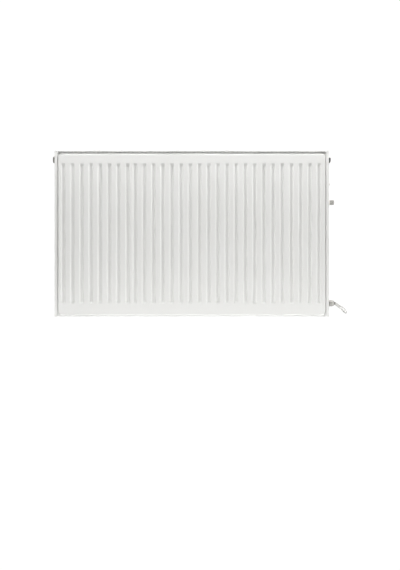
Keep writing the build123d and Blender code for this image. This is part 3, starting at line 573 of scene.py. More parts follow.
@dataclass
class WaterPanels:
    """The two welded panels: fluted outer sheets, plain inner sheets, convectors, tees and heater tube."""

    first_valley: float = -468.1 * MM
    pitch: float = 33.5 * MM
    narrow_pitch: float = 27.0 * MM
    narrow_after: int = 7
    valleys: int = 29
    valley_low: float = 46 * MM
    valley_high: float = 561 * MM
    valley_half: float = 9.2 * MM
    valley_slope: float = 6.0 * MM
    top_slope: float = 14 * MM
    foot_slope: float = 10.5 * MM
    sheet: float = 1.25 * MM
    raise_by: float = 6.5 * MM
    crown: float = 0.25 * MM
    flange_side: float = 8 * MM
    flange_end: float = 5 * MM
    corner: float = 6 * MM
    field_corner: float = 14 * MM
    rim_run: float = 3.6 * MM

    def valley_middles(self) -> Array:
        """Places of the valleys along X, at an even pitch but for one narrow pitch.

        Returns:
            The X of each valley's middle.
        """
        index = np.arange(self.valleys)
        missing = (index > self.narrow_after) * (self.pitch - self.narrow_pitch)
        return self.first_valley + index * self.pitch - missing

    def grid_lines(self, half: float, height: float) -> tuple[Array, Array]:
        """Lines of the grid along X and Z, close together where the sheet bends.

        Args:
            half: half of the sheet's width.
            height: the sheet's height.
        Returns:
            The lines along X from the middle, and along Z from the bottom.
        """
        steps = np.array([0.0, 1.6, 2.9, 3.9, 4.9, 5.9, 6.9, 7.9, 9.0, 10.6]) * MM
        across = self.valley_middles()[:, None] + np.r_[-steps[:0:-1], steps][None, :]
        lands = self.valley_middles()[:-1] + np.diff(self.valley_middles()) / 2
        rim = np.r_[0.0, 3.0, 6.0, np.arange(7.6, 16.0, 0.8)] * MM
        x = np.r_[across.ravel(), lands, -half + rim, half - rim]
        rows = np.r_[0.0, 2.0, np.arange(3.6, 21.0, 0.9), 28.0, 38.0] * MM
        ends = np.r_[-2.0, np.arange(0.0, 17.5, 1.25), 24.0, 60.0] * MM
        z = np.r_[rows, height - rows, self.valley_low + ends, self.valley_high - ends, height / 2]
        x, z = np.unique(x.round(6)), np.unique(z.round(6))
        return x, z

    def sheet_height(self, x: Array, z: Array, half: float, height: float) -> Array:
        """Height of the outside above the weld plane.

        The flange lies at the sheet's thickness. The field rises from it by a smooth step of the
        distance inside a rounded rectangle. Each valley sinks by the product of one smooth step across
        it and one at its ends. The land between two valleys is crowned by a cosine.

        Args:
            x: places along X.
            z: places above the bottom edge.
            half: half of the sheet's width.
            height: the sheet's height.
        Returns:
            The heights.
        """
        centre = height / 2
        inner_x = np.abs(x) - (half - self.flange_side - self.field_corner)
        inner_z = np.abs(z - centre) - (centre - self.flange_end - self.field_corner)
        outside = np.hypot(np.maximum(inner_x, 0), np.maximum(inner_z, 0))
        inside = np.minimum(np.maximum(inner_x, inner_z), 0)
        rim = smooth_step((self.field_corner - outside - inside) / self.rim_run)
        middles = self.valley_middles()
        nearest = np.abs(x[..., None] - middles).min(axis=-1)
        across = smooth_step((self.valley_half - nearest) / self.valley_slope)
        foot = smooth_step((z - self.valley_low) / self.foot_slope)
        ends = foot * smooth_step((self.valley_high - z) / self.top_slope)
        deep = self.raise_by - self.sheet
        land = np.clip((nearest - self.valley_half) / (self.pitch / 2 - self.valley_half), 0, 1)
        crown = self.crown * (1 + np.cos(math.pi * land)) / 2 * ends
        return self.sheet + (deep - crown) * rim - (deep - crown) * across * ends

    def round_corners(
        self, x: Array, z: Array, half: float, height: float
    ) -> tuple[Array, Array]:
        """Draws the sheet's square corners in to arcs, by the mapping of a square onto a disc.

        Args:
            x: places along X.
            z: places above the bottom edge.
            half: half of the sheet's width.
            height: the sheet's height.
        Returns:
            The places with the corners drawn in.
        """
        u = np.clip((np.abs(x) - half + self.corner) / self.corner, 0, 1)
        v = np.clip((np.abs(z - height / 2) - height / 2 + self.corner) / self.corner, 0, 1)
        shift_x = self.corner * (u * np.sqrt(1 - v * v / 2) - u)
        shift_z = self.corner * (v * np.sqrt(1 - u * u / 2) - v)
        return x + np.sign(x) * shift_x, z + np.sign(z - height / 2) * shift_z

    def fluted_sheet(self, node: str, side: Side) -> None:
        """One outer sheet as a height field over a grid in X and Z, with the sheet's thickness.

        Args:
            node: the CAD node that it stands for.
            side: the way that it bulges.
        """
        low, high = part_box(node)
        half, height = (high.x - low.x) / 2, high.z - low.z
        weld = high.y if side is Side.ROOM else low.y
        lines_x, lines_z = self.grid_lines(half, height)
        x, z = np.meshgrid(lines_x, lines_z)
        lift = self.sheet_height(x, z, half, height)
        x, z = self.round_corners(x, z, half, height)
        points = np.stack([x, weld + side.value * lift, low.z + z], axis=-1)
        thickness = {"thickness": self.sheet, "offset": -1.0, "use_even_offset": False}
        make_piece(
            f"{node}_fluted", grid(points), WHITE_COAT, replaces=(node,), facing=(0, side.value, 0),
            modifiers=[("SOLIDIFY", thickness)], sharp=60.0,
        )

    def build(self) -> None:
        """Makes both fluted sheets and dresses what lies between the panels."""
        self.fluted_sheet("front_panel_outer_sheet", Side.ROOM)
        self.fluted_sheet("rear_panel_outer_sheet", Side.WALL)
        dress(WHITE_COAT, "front_panel_inner_sheet", "rear_panel_inner_sheet")
        dress(DIPPED_PRIMER, "convector_front", "convector_rear")
        dress(WHITE_COAT, "header_tee_left", "header_tee_right", "heater_tube", "heater_tube_end")
        dress(WHITE_COAT, "tube_bridges", "heater_boss")


# ---------------------------------------------------------------- casing
@dataclass
class Casing:
    """Top grille with its slots and legs, side covers and the clips that hold them."""

    thick: float = 1.2 * MM
    bend: float = 1.6 * MM
    slot_pitch: float = 16 * MM
    slot_half_wide: float = 4.5 * MM
    slot_half_long: float = 19 * MM
    slot_margin: float = 12 * MM
    row_offset: float = 23 * MM
    skirt: float = 5.8 * MM
    lip_dip: float = 0.5 * MM
    lip_wide: float = 0.9 * MM
    cell_steps: int = 6
    leg_wide: float = 12 * MM
    leg_places: tuple[float, ...] = (-0.425, -0.15, 0.15, 0.425)
    leg_inset: float = 12.5 * MM

    def wrap(self, flat: Array, half: float) -> tuple[Array, Array]:
        """Folds a flat distance from the middle over the edge.

        Up to the bend it stays level. It then follows a quarter circle, and beyond that it goes
        straight down.

        Args:
            flat: distances on the flat sheet.
            half: half of the folded width.
        Returns:
            The distances from the middle and the drops.
        """
        over = np.maximum(np.abs(flat) - (half - self.bend), 0)
        angle = np.minimum(over / self.bend, math.pi / 2)
        straight = np.maximum(over - self.bend * math.pi / 2, 0)
        out = np.minimum(np.abs(flat), half - self.bend) + self.bend * np.sin(angle)
        return np.sign(flat) * out, self.bend * (1 - np.cos(angle)) + straight

    def slot_cell(self) -> Array:
        """One slot's cell as four rings: its square edge, and three down the rolled lip of the slot.

        Every ring goes round the same way with the same count of points. A side point of the square
        edge goes to the slot's straight side, and an end point goes to its half circle.

        Returns:
            An array of rings by points by 3, with the cell's middle at the origin.
        """
        step = np.linspace(-1, 1, self.cell_steps + 1)[:-1]
        half_x, half_y = self.slot_pitch / 2, self.row_offset
        ones = np.ones_like(step)
        square = np.concatenate([
            np.c_[half_x * ones, half_y * step], np.c_[-half_x * step, half_y * ones],
            np.c_[-half_x * ones, -half_y * step], np.c_[half_x * step, -half_y * ones],
        ])
        rings = [np.c_[square, np.zeros(len(square))]]
        cap = math.pi / 2 * (step + 1)
        straight = self.slot_half_long - self.slot_half_wide
        for grow, dip in ((self.lip_wide, 0.0), (self.lip_wide / 2, 0.3), (0.0, 1.0)):
            radius = self.slot_half_wide + grow
            outline = np.concatenate([
                np.c_[radius * ones, straight * step],
                np.c_[radius * np.cos(cap), straight + radius * np.sin(cap)],
                np.c_[-radius * ones, -straight * step],
                np.c_[-radius * np.cos(cap), -straight - radius * np.sin(cap)],
            ])
            rings.append(np.c_[outline, np.full(len(outline), -self.lip_dip * dip)])
        return np.array(rings)

    def grille(self) -> None:
        """The grille: a folded sheet with two rows of rolled slots, and its eight legs."""
        low, high = (np.array(corner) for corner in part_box("top_grille"))
        half_x, half_y = (high - low)[:2] / 2
        centre_y = (low + high)[1] / 2
        count = int((2 * half_x - 2 * self.slot_margin) // self.slot_pitch)
        half_field = count * self.slot_pitch / 2
        fine = self.slot_pitch / self.cell_steps
        field_x = -half_field + fine * np.arange(count * self.cell_steps + 1)
        field_y = np.linspace(-1, 1, 2 * self.cell_steps + 1) * 2 * self.row_offset
        drop = self.skirt - self.bend + self.bend * math.pi / 2
        tail = np.r_[np.linspace(0, self.bend * math.pi / 2, 6), drop]
        edge_x, edge_y = half_x - self.bend + tail, half_y - self.bend + tail
        line_x = np.r_[-edge_x[::-1], field_x, edge_x]
        line_y = np.unique(np.r_[-edge_y[::-1], field_y, edge_y].round(7))
        flat_x, flat_y = np.meshgrid(line_x, line_y, indexing="ij")
        x, drop_x = self.wrap(flat_x, half_x)
        y, drop_y = self.wrap(flat_y, half_y)
        points = np.stack([x, centre_y + y, high[2] - np.maximum(drop_x, drop_y)], axis=-1)
        sheet = grid(points)
        centres = sheet.points[sheet.quads].mean(axis=1)
        in_field_x = np.abs(centres[:, 0]) < half_field
        in_field_y = np.abs(centres[:, 1] - centre_y) < 2 * self.row_offset
        border = Shape(sheet.points, sheet.quads[~(in_field_x & in_field_y)])
        cell = self.slot_cell()
        cells = []
        for column in range(count):
            for row in (-1, 1):
                x = (column + 0.5) * self.slot_pitch - half_field
                place = np.array([x, centre_y + row * self.row_offset, high[2]])
                cells.append(grid(cell + place, wrap_columns=True))
        make_piece(
            "top_grille_slotted", joined([border, *cells]), WHITE_COAT, "grille", ("top_grille",),
            facing=(0, 0, 1),
            modifiers=[("SOLIDIFY", {"thickness": self.thick, "offset": -1.0})], sharp=50.0,
        )
        self.legs(low, high)

    def legs(self, low: Array, high: Array) -> None:
        """The grille's legs, a row along each side.

        Args:
            low: the low corner of the grille's box.
            high: its high corner.
        """
        centre_y, half_y = (low + high)[1] / 2, (high - low)[1] / 2
        legs = []
        for place in self.leg_places:
            for side in (-1, 1):
                outer = side * (half_y - self.leg_inset)
                inner = outer - side * self.thick
                y0, y1 = sorted((centre_y + outer, centre_y + inner))
                legs.append(block(
                    (place - self.leg_wide / 2, y0, low[2]),
                    (place + self.leg_wide / 2, y1, high[2] - self.thick / 2),
                ))
        make_piece("top_grille_legs", joined(legs), WHITE_COAT, "grille", modifiers=[bevel(0.4, 2)])

    def build(self) -> None:
        """Makes the grille and dresses the covers and the clips."""
        self.grille()
        dress(WHITE_COAT, "side_cover_left", "side_cover_right")
        dress(GALVANISED_STEEL, "cover_clips", "grille_clips")


# ---------------------------------------------------------------- plug, vent and seals
def hexagon(across: float, chamfer_end: float) -> Callable[[Array, Array, Array], Array]:
    """A hexagon with a turned chamfer: the smaller of the hexagon's radius and a 30 degree cone's.

    Args:
        across: distance across the flats.
        chamfer_end: where along the axis the chamfered end face is.
    Returns:
        The function that lathe() calls for the radius.
    """
    def reshape(along: Array, radius: Array, angle: Array) -> Array:
        """The least of the profile's, the flats' and the cone's radius, where the profile is wide.

        Args:
            along: distance along the axis.
            radius: the profile's radius.
            angle: the angle round the axis.
        Returns:
            The radius of the hexagon.
        """
        sector = np.mod(angle + math.pi / 6, math.pi / 3) - math.pi / 6
        flats = across / 2 / np.cos(sector)
        cone = 0.94 * across / 2 + np.abs(chamfer_end - along) * math.tan(math.radians(60))
        cut = np.minimum(np.minimum(radius, flats), cone)
        return np.where(radius > 0.9 * across / 2, cut, radius)

    return reshape


@dataclass
class HeaderFittings:
    """The blanking plug at the left of the header, the air vent at the right, and their seals."""

    hex_across: float = 22 * MM
    flange: float = 3 * MM
    port_hole: float = 10.45 * MM
    thread_play: float = 0.1 * MM
    nose_radius: float = 5 * MM
    spindle_bore: float = 2.85 * MM
    square: float = 3.8 * MM
    outlet_flutes: int = 12

    def hex_part(self, flange_radius: float, length: float) -> Array:
        """Profile of a round flange with a hexagon on it and a turned recess in its end face.

        Args:
            flange_radius: of the flange.
            length: of the hexagon.
        Returns:
            The profile, as rows of distance along the axis and radius.
        """
        tip = self.flange + length
        wide = 0.6 * self.hex_across
        return np.concatenate([
            eased(
                [(0, 0), (0, flange_radius), (self.flange, flange_radius), (self.flange, wide)],
                [0, 0.4 * MM, 0.5 * MM, 0], 3,
            ),
            np.c_[np.linspace(self.flange, tip, 12), np.full(12, wide)],
            np.array([
                (tip, 0.47 * self.hex_across), (tip, 7.4 * MM), (tip - 0.7 * MM, 6.8 * MM),
                (tip - 0.7 * MM, 0),
            ]),
        ])

    def blanking_plug(self) -> None:
        """The plug at the left: flange and hexagon outside the cover, its thread hidden in the tee."""
        low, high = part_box("blanking_plug")
        seal_low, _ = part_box("blanking_plug_seal")
        length = seal_low.x - low.x - self.flange
        axis = middle("blanking_plug")
        head = lathe(
            self.hex_part(high.z - axis[2], length), 96,
            reshape=hexagon(self.hex_across, self.flange + length),
        ).placed((seal_low.x, axis[1], axis[2]), (-1, 0, 0))
        stem_radius = self.port_hole - self.thread_play
        stem = lathe(eased(
            [(0, 0), (0, stem_radius), (high.x - seal_low.x, stem_radius), (high.x - seal_low.x, 0)],
            [0, 0, 0.8 * MM, 0], 3,
        )).placed((seal_low.x, axis[1], axis[2]))
        make_piece(
            "blanking_plug_hex", joined([head, stem]), SATIN_NICKEL, replaces=("blanking_plug",)
        )

    def seal(self, node: str) -> None:
        """A flat rubber washer with rounded rims.

        Args:
            node: the CAD node that it stands for.
        """
        low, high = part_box(node)
        outer, thick = (high.z - low.z) / 2, high.x - low.x
        outline = eased(
            [(0, self.port_hole), (thick, self.port_hole), (thick, outer), (0, outer)], 0.45 * MM, 4
        )
        ring = lathe(outline, 64, ring=True).placed((low.x, *middle(node)[1:]))
        make_piece(f"{node}_washer", ring, EPDM_RUBBER, replaces=(node,))

    def air_vent(self) -> None:
        """The vent: a plated body, a black outlet that swivels on it, and a square-ended screw."""
        low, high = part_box("air_vent_body")
        _, seal_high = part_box("air_vent_seal")
        centre = middle("air_vent_body")
        flange_radius = high.z - centre[2]
        face = seal_high.x
        stem = self.port_hole - self.thread_play
        bore = self.spindle_bore
        body = eased(
            [
                (low.x, bore), (low.x, stem), (face, stem), (face, flange_radius),
                (face + self.flange, flange_radius), (face + self.flange, self.nose_radius),
                (high.x, self.nose_radius), (high.x, bore),
            ],
            [0, 0.6 * MM, 0, 0.3 * MM, 0.5 * MM, 0.2 * MM, 0.5 * MM, 0.2 * MM], 3,
        )
        turned = lathe(body, 64, ring=True).placed((0, *centre[1:]))
        make_piece("air_vent_body_turned", turned, SATIN_NICKEL, replaces=("air_vent_body",))
        self.outlet(centre)
        self.vent_screw(centre)

    def outlet(self, centre: Array) -> None:
        """The swivelling outlet: a ring with grip flutes, and a spout below it.

        Args:
            centre: a point on the vent's axis.
        """
        low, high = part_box("air_vent_outlet")
        radius = high.z - centre[2]
        bore = self.nose_radius + 0.06 * MM

        def flutes(along: Array, r: Array, angle: Array) -> Array:
            """Takes a wave of flutes off the outer surface.

            Args:
                along: distance along the axis.
                r: the profile's radius.
                angle: the angle round the axis.
            Returns:
                The radius with the flutes.
            """
            wave = 0.35 * MM * (0.5 + 0.5 * np.cos(self.outlet_flutes * angle)) ** 2
            return np.where(r > 0.8 * radius, r - wave, r)

        outline = eased(
            [(low.x, bore), (low.x, radius), (high.x, radius), (high.x, bore)],
            [0.2 * MM, 0.5 * MM, 1.2 * MM, 0.3 * MM], 4,
        )
        ring = lathe(outline, 96, ring=True, reshape=flutes).placed((0, *centre[1:]))
        root, reach = bore + 1.2 * MM, centre[2] - low.z
        spout = lathe(eased(
            [(root, 1.0 * MM), (root, 2.3 * MM), (reach, 2.0 * MM), (reach, 1.0 * MM)],
            [0, 0, 0.4 * MM, 0.2 * MM], 3,
        ), 32, ring=True).placed(((low.x + high.x) / 2, centre[1], centre[2]), (0, 0, -1))
        make_piece(
            "air_vent_outlet_fluted", joined([ring, spout]), BLACK_NYLON, "vent_outlet",
            ("air_vent_outlet",),
        )

    def vent_screw(self, centre: Array) -> None:
        """The screw that a vent key turns: a round spindle that ends in a square.

        Args:
            centre: a point on the vent's axis.
        """
        low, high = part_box("air_vent_screw")
        half = self.square / 2
        radius, shoulder = (high.z - low.z) / 2, high.x - 3.5 * MM
        spindle = lathe(eased(
            [(low.x, 0), (low.x, radius), (shoulder, radius), (shoulder, 0)],
            [0, 0.6 * MM, 0.4 * MM, 0], 3,
        ), 32).placed((0, *centre[1:]))
        square = block(
            (shoulder - 1.0 * MM, centre[1] - half, centre[2] - half),
            (high.x, centre[1] + half, centre[2] + half),
        )
        make_piece(
            "air_vent_screw_square", joined([spindle, square]), STAMPED_BRASS, "vent_screw",
            ("air_vent_screw",), modifiers=[bevel(0.3, 2)],
        )

    def build(self) -> None:
        """Makes the plug, the vent and both seals."""
        self.blanking_plug()
        self.air_vent()
        self.seal("blanking_plug_seal")
        self.seal("air_vent_seal")


# ---------------------------------------------------------------- controls on the right-hand cover
@dataclass
class Controls:
    """Thermostat knob and its flared collar, rocker switch, screws, and the box behind the cover.

    The rocker's lobe, its dish and its marks are in millimetres, out and up from the pivot.
    """

    knob_flutes: int = 20
    knob_flute_deep: float = 0.45 * MM
    tick_count: int = 10
    long_tick: int = 5
    tick_half_wide: float = 0.28 * MM
    slope_start: float = 2 * MM
    slope_long: float = 4 * MM
    collar_neck: float = 11.5 * MM
    knob_sweep: float = 270.0
    rocker_pivot: tuple[float, float, float] = (497.5 * MM, -118.0 * MM, 189.0 * MM)
    rocker_tilt: float = 10.0
    rocker_half_wide: float = 4.7 * MM
    rocker_lobe: tuple[float, float] = (8.8, 8.0)
    rocker_dish: tuple[float, float] = (7.0, 2.2)
    mark_up: float = 5.1
    pocket_back: float = 488 * MM

    def knob(self) -> None:
        """The knob: a fluted skirt with a domed end, and a white pointer let into that end."""
        low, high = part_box("thermostat_knob")
        centre = middle("thermostat_knob")
        radius, long = (high.z - low.z) / 2, high.x - low.x
        bore = 2.98 * MM

        def flutes(along: Array, r: Array, angle: Array) -> Array:
            """Cuts rounded flutes into the side, fading out at the domed end.

            Args:
                along: distance from the knob's foot.
                r: the profile's radius.
                angle: the angle round the axis.
            Returns:
                The radius with the flutes.
            """
            wave = (0.5 + 0.5 * np.cos(self.knob_flutes * angle)) ** 3
            fade = smooth_step((long - 1.5 * MM - along) / (2 * MM))
            return np.where(r > 0.85 * radius, r - self.knob_flute_deep * wave * fade, r)

        outer = np.concatenate([
            eased([(0, bore), (0, radius), (0.3 * long, radius)], [0, 0.6 * MM, 0], 3)[:-1],
            np.c_[np.linspace(0.3, 0.82, 7) * long, np.full(7, radius)],
            np.array([
                (0.90, 0.985), (0.95, 0.93), (0.98, 0.84), (0.992, 0.74), (1.0, 0.55), (1.0, 0.0)
            ]) * (long, radius),
        ])
        hole_end = long - 4 * MM
        outline = np.concatenate([np.array([(hole_end, 0.0), (hole_end, bore)]), outer])
        knob = lathe(outline, 160, reshape=flutes).placed((low.x, *centre[1:]))
        make_piece(
            "thermostat_knob_fluted", knob, GREY_NYLON, "thermostat_dial", ("thermostat_knob",),
            sharp=50.0,
        )
        pointer = block(
            (high.x - 0.7 * MM, centre[1] - 0.55 * MM, centre[2] + 1.5 * MM),
            (high.x - 0.03 * MM, centre[1] + 0.55 * MM, centre[2] + 0.6 * radius),
        )
        make_piece(
            "thermostat_knob_pointer", pointer, OFF_WHITE_ABS, "thermostat_dial",
            modifiers=[bevel(0.15, 2)],
        )

    def bezel(self) -> None:
        """The flared collar round the knob."""
        low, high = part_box("thermostat_bezel")
        centre = middle("thermostat_bezel")
        wide, long = (high.z - low.z) / 2, high.x - low.x
        bore = 5.06 * MM
        outline = eased(
            [
                (0, bore), (0, wide), (self.slope_start, wide),
                (self.slope_start + self.slope_long, self.collar_neck), (long, 11 * MM), (long, bore),
            ],
            [0.2 * MM, 0.3 * MM, 0.9 * MM, 1.2 * MM, 0.8 * MM, 0.4 * MM], 5,
        )
        ring = lathe(outline, 96, ring=True).placed((low.x, *centre[1:]))
        make_piece("thermostat_collar", ring, OFF_WHITE_ABS, replaces=("thermostat_bezel",), sharp=50.0)
        self.collar_marks(np.array([low.x, *centre[1:]]), wide)

    def collar_marks(self, centre: Array, wide: float) -> None:
        """A ring of raised marks on the collar's slope, over the knob's sweep.

        Args:
            centre: the middle of the collar's back.
            wide: the collar's greatest radius.
        """
        slope = np.array([self.slope_long, wide - self.collar_neck])
        across = slope / np.linalg.norm(slope)
        along = self.slope_start + self.slope_long / 2
        marks = []
        for tick in range(self.tick_count + 1):
            turn = math.radians(90 + self.knob_sweep / 2 - tick * self.knob_sweep / self.tick_count)
            outward = np.array([0.0, math.cos(turn), math.sin(turn)])
            sideways = np.array([0.0, -outward[2], outward[1]]) * self.tick_half_wide
            up = np.array([across[1], 0, 0]) + across[0] * outward
            down = np.array([-across[0], 0, 0]) + across[1] * outward
            foot = centre + (along, 0, 0) + outward * ((wide + self.collar_neck) / 2)
            half_long = (1.7 if tick % self.long_tick == 0 else 1.1) * MM
            marks.append(loft(np.array([
                [foot + sideways * a + down * b * half_long + up * height * MM
                 for a, b in ((-1, -1), (1, -1), (1, 1), (-1, 1))]
                for height in (-0.2, 0.12)
            ])))
        make_piece("thermostat_collar_marks", joined(marks), DARK_NYLON, modifiers=[bevel(0.08, 1)])

    def switch(self) -> None:
        """The switch: a framed housing with a pocket, and the rocker in it."""
        low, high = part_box("switch_housing")
        centre = middle("switch_housing")
        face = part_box("side_cover_right")[1].x
        wide, tall = (high.y - low.y) / MM, (high.z - low.z) / MM

        def outline(x: float, width: float, height: float, radius: float) -> Array:
            """A rounded rectangle across X at x metres, its sizes in millimetres."""
            flat = rounded_rectangle(width, height, radius) * MM
            return np.c_[np.full(len(flat), x), centre[1] + flat[:, 0], centre[2] + flat[:, 1]]

        housing = loft(np.array([
            outline(low.x, 12.4, 18.8, 0.6), outline(face, 12.4, 18.8, 0.6),
            outline(face, wide, tall, 1.6), outline(high.x - 0.7 * MM, wide, tall, 1.6),
            outline(high.x - 0.2 * MM, wide - 0.5, tall - 0.5, 1.5),
            outline(high.x, wide - 1.4, tall - 1.4, 1.2), outline(high.x, 10.8, 17.8, 0.8),
            outline(high.x - 0.5 * MM, 10, 17, 0.6), outline(self.pocket_back, 10, 17, 0.6),
        ]))
        make_piece("switch_frame", housing, OFF_WHITE_ABS, replaces=("switch_housing",), sharp=50.0)
        self.rocker()
        self.rocker_marks()

    def rocker(self) -> None:
        """The rocker: a profile that dishes between its two lobes, the same right across."""
        (lobe_out, lobe_up), (dish_out, dish_half) = self.rocker_lobe, self.rocker_dish
        profile = eased(
            [
                (lobe_out, lobe_up), (dish_out, dish_half), (dish_out, -dish_half), (lobe_out, -lobe_up),
                (4.0, -7.2), (-2.0, -4.0), (-4.0, -1.5), (-4.0, 1.5), (-2.0, 4.0), (4.0, 7.2),
            ],
            [0.5, 2.0, 2.0, 0.5, 1.0, 0.8, 0.8, 0.8, 0.8, 1.0], 4,
        ) * MM
        turned = self.tilted(profile)
        ends = [self.rocker_pivot[1] + side * self.rocker_half_wide for side in (-1, 1)]
        sides = [np.insert(turned, 1, end, axis=1) for end in ends]
        make_piece(
            "switch_rocker_dished", loft(np.array(sides)), OFF_WHITE_ABS, "rocker", ("switch_rocker",),
            modifiers=[bevel(0.35, 3)],
        )

    def tilted(self, flat: Array) -> Array:
        """Turns points to the rocker's rest tilt.

        Args:
            flat: rows of out and up from the pivot.
        Returns:
            Rows of X and Z.
        """
        tilt = math.radians(self.rocker_tilt)
        out = flat[..., 0] * math.cos(tilt) - flat[..., 1] * math.sin(tilt)
        up = flat[..., 0] * math.sin(tilt) + flat[..., 1] * math.cos(tilt)
        return np.stack([self.rocker_pivot[0] + out, self.rocker_pivot[2] + up], axis=-1)

    def rocker_marks(self) -> None:
        """A bar for on and a ring for off, raised a little from the rocker's two lobes."""
        (lobe_out, lobe_up), (dish_out, dish_half) = self.rocker_lobe, self.rocker_dish
        lean = math.atan2(lobe_out - dish_out, lobe_up - dish_half)
        sunk, raised = -0.1, 0.12
        section = [(sunk, 0.9), (raised, 0.9), (raised, 1.4), (sunk, 1.4)]
        ring = lathe(eased(section, 0.05, 2) * MM, 32, ring=True)
        bar = block((sunk * MM, -0.25 * MM, -1.4 * MM), (raised * MM, 0.25 * MM, 1.4 * MM))
        out = dish_out + (self.mark_up - dish_half) * math.tan(lean)
        marks = []
        for lobe, mark in ((1, ring), (-1, bar)):
            x, z = self.tilted(np.array([out, lobe * self.mark_up]) * MM)
            tilt = math.radians(self.rocker_tilt) - lobe * lean
            normal = (math.cos(tilt), 0.0, math.sin(tilt))
            marks.append(mark.placed((x, self.rocker_pivot[1], z), normal))
        make_piece("switch_rocker_marks", joined(marks), DARK_NYLON, "rocker")

    def screws(self) -> None:
        """Two pan-head screws with cross recesses.

        A head is a dome over polar coordinates: its height falls with the fourth power of the radius,
        and a cross of two smooth-sided grooves is taken out of it.
        """
        low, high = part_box("control_box_screws")
        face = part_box("side_cover_right")[1].x
        radius = (high.y - low.y) / 2
        ring = np.linspace(0, 1, 15)[:, None] * radius
        angle = np.linspace(0, FULL_TURN, 72, endpoint=False)[None, :]
        y, z = ring * np.cos(angle), ring * np.sin(angle)
        dome = 1.75 * MM - 1.0 * MM * (ring / radius) ** 4 + 0 * angle
        arm = smooth_step((0.62 * MM - np.minimum(np.abs(y), np.abs(z))) / (0.3 * MM))
        reach = smooth_step((2.0 * MM - np.maximum(np.abs(y), np.abs(z))) / (0.5 * MM))
        top = np.stack([face + dome - 1.0 * MM * arm * reach, y, z], axis=-1)
        rim = top[-1] * (0, 1, 1) + (face, 0, 0)
        back = top[0] * 0 + (face, 0, 0)
        head = grid(np.concatenate([top, rim[None], back[None]]), wrap_columns=True)
        stem_radius = 1.7 * MM
        stem_profile = [(low.x, 0), (low.x, stem_radius), (face, stem_radius), (face, 0)]
        stem = lathe(np.array(stem_profile), 24)
        axis_y = middle("control_box_screws")[1]
        screws = [
            part.placed((0, axis_y, end))
            for end in (low.z + radius, high.z - radius) for part in (head, stem)
        ]
        make_piece(
            "control_box_screws_panhead", joined(screws), SATIN_NICKEL,
            replaces=("control_box_screws",),
        )

    def build(self) -> None:
        """Makes what shows outside the cover and dresses the works behind it."""
        self.knob()
        self.bezel()
        self.switch()
        self.screws()
        dress(OFF_WHITE_ABS, "control_box")
        dress(DARK_NYLON, "thermostat_body")
        dress(DRAWN_STAINLESS, "thermostat_shaft")
        dress(DRAWN_COPPER, "sensor_bulb", "sensor_capillary")
        dress(STAMPED_BRASS, "switch_contacts")
        dress(GLASS_SLEEVE, "heater_wiring")


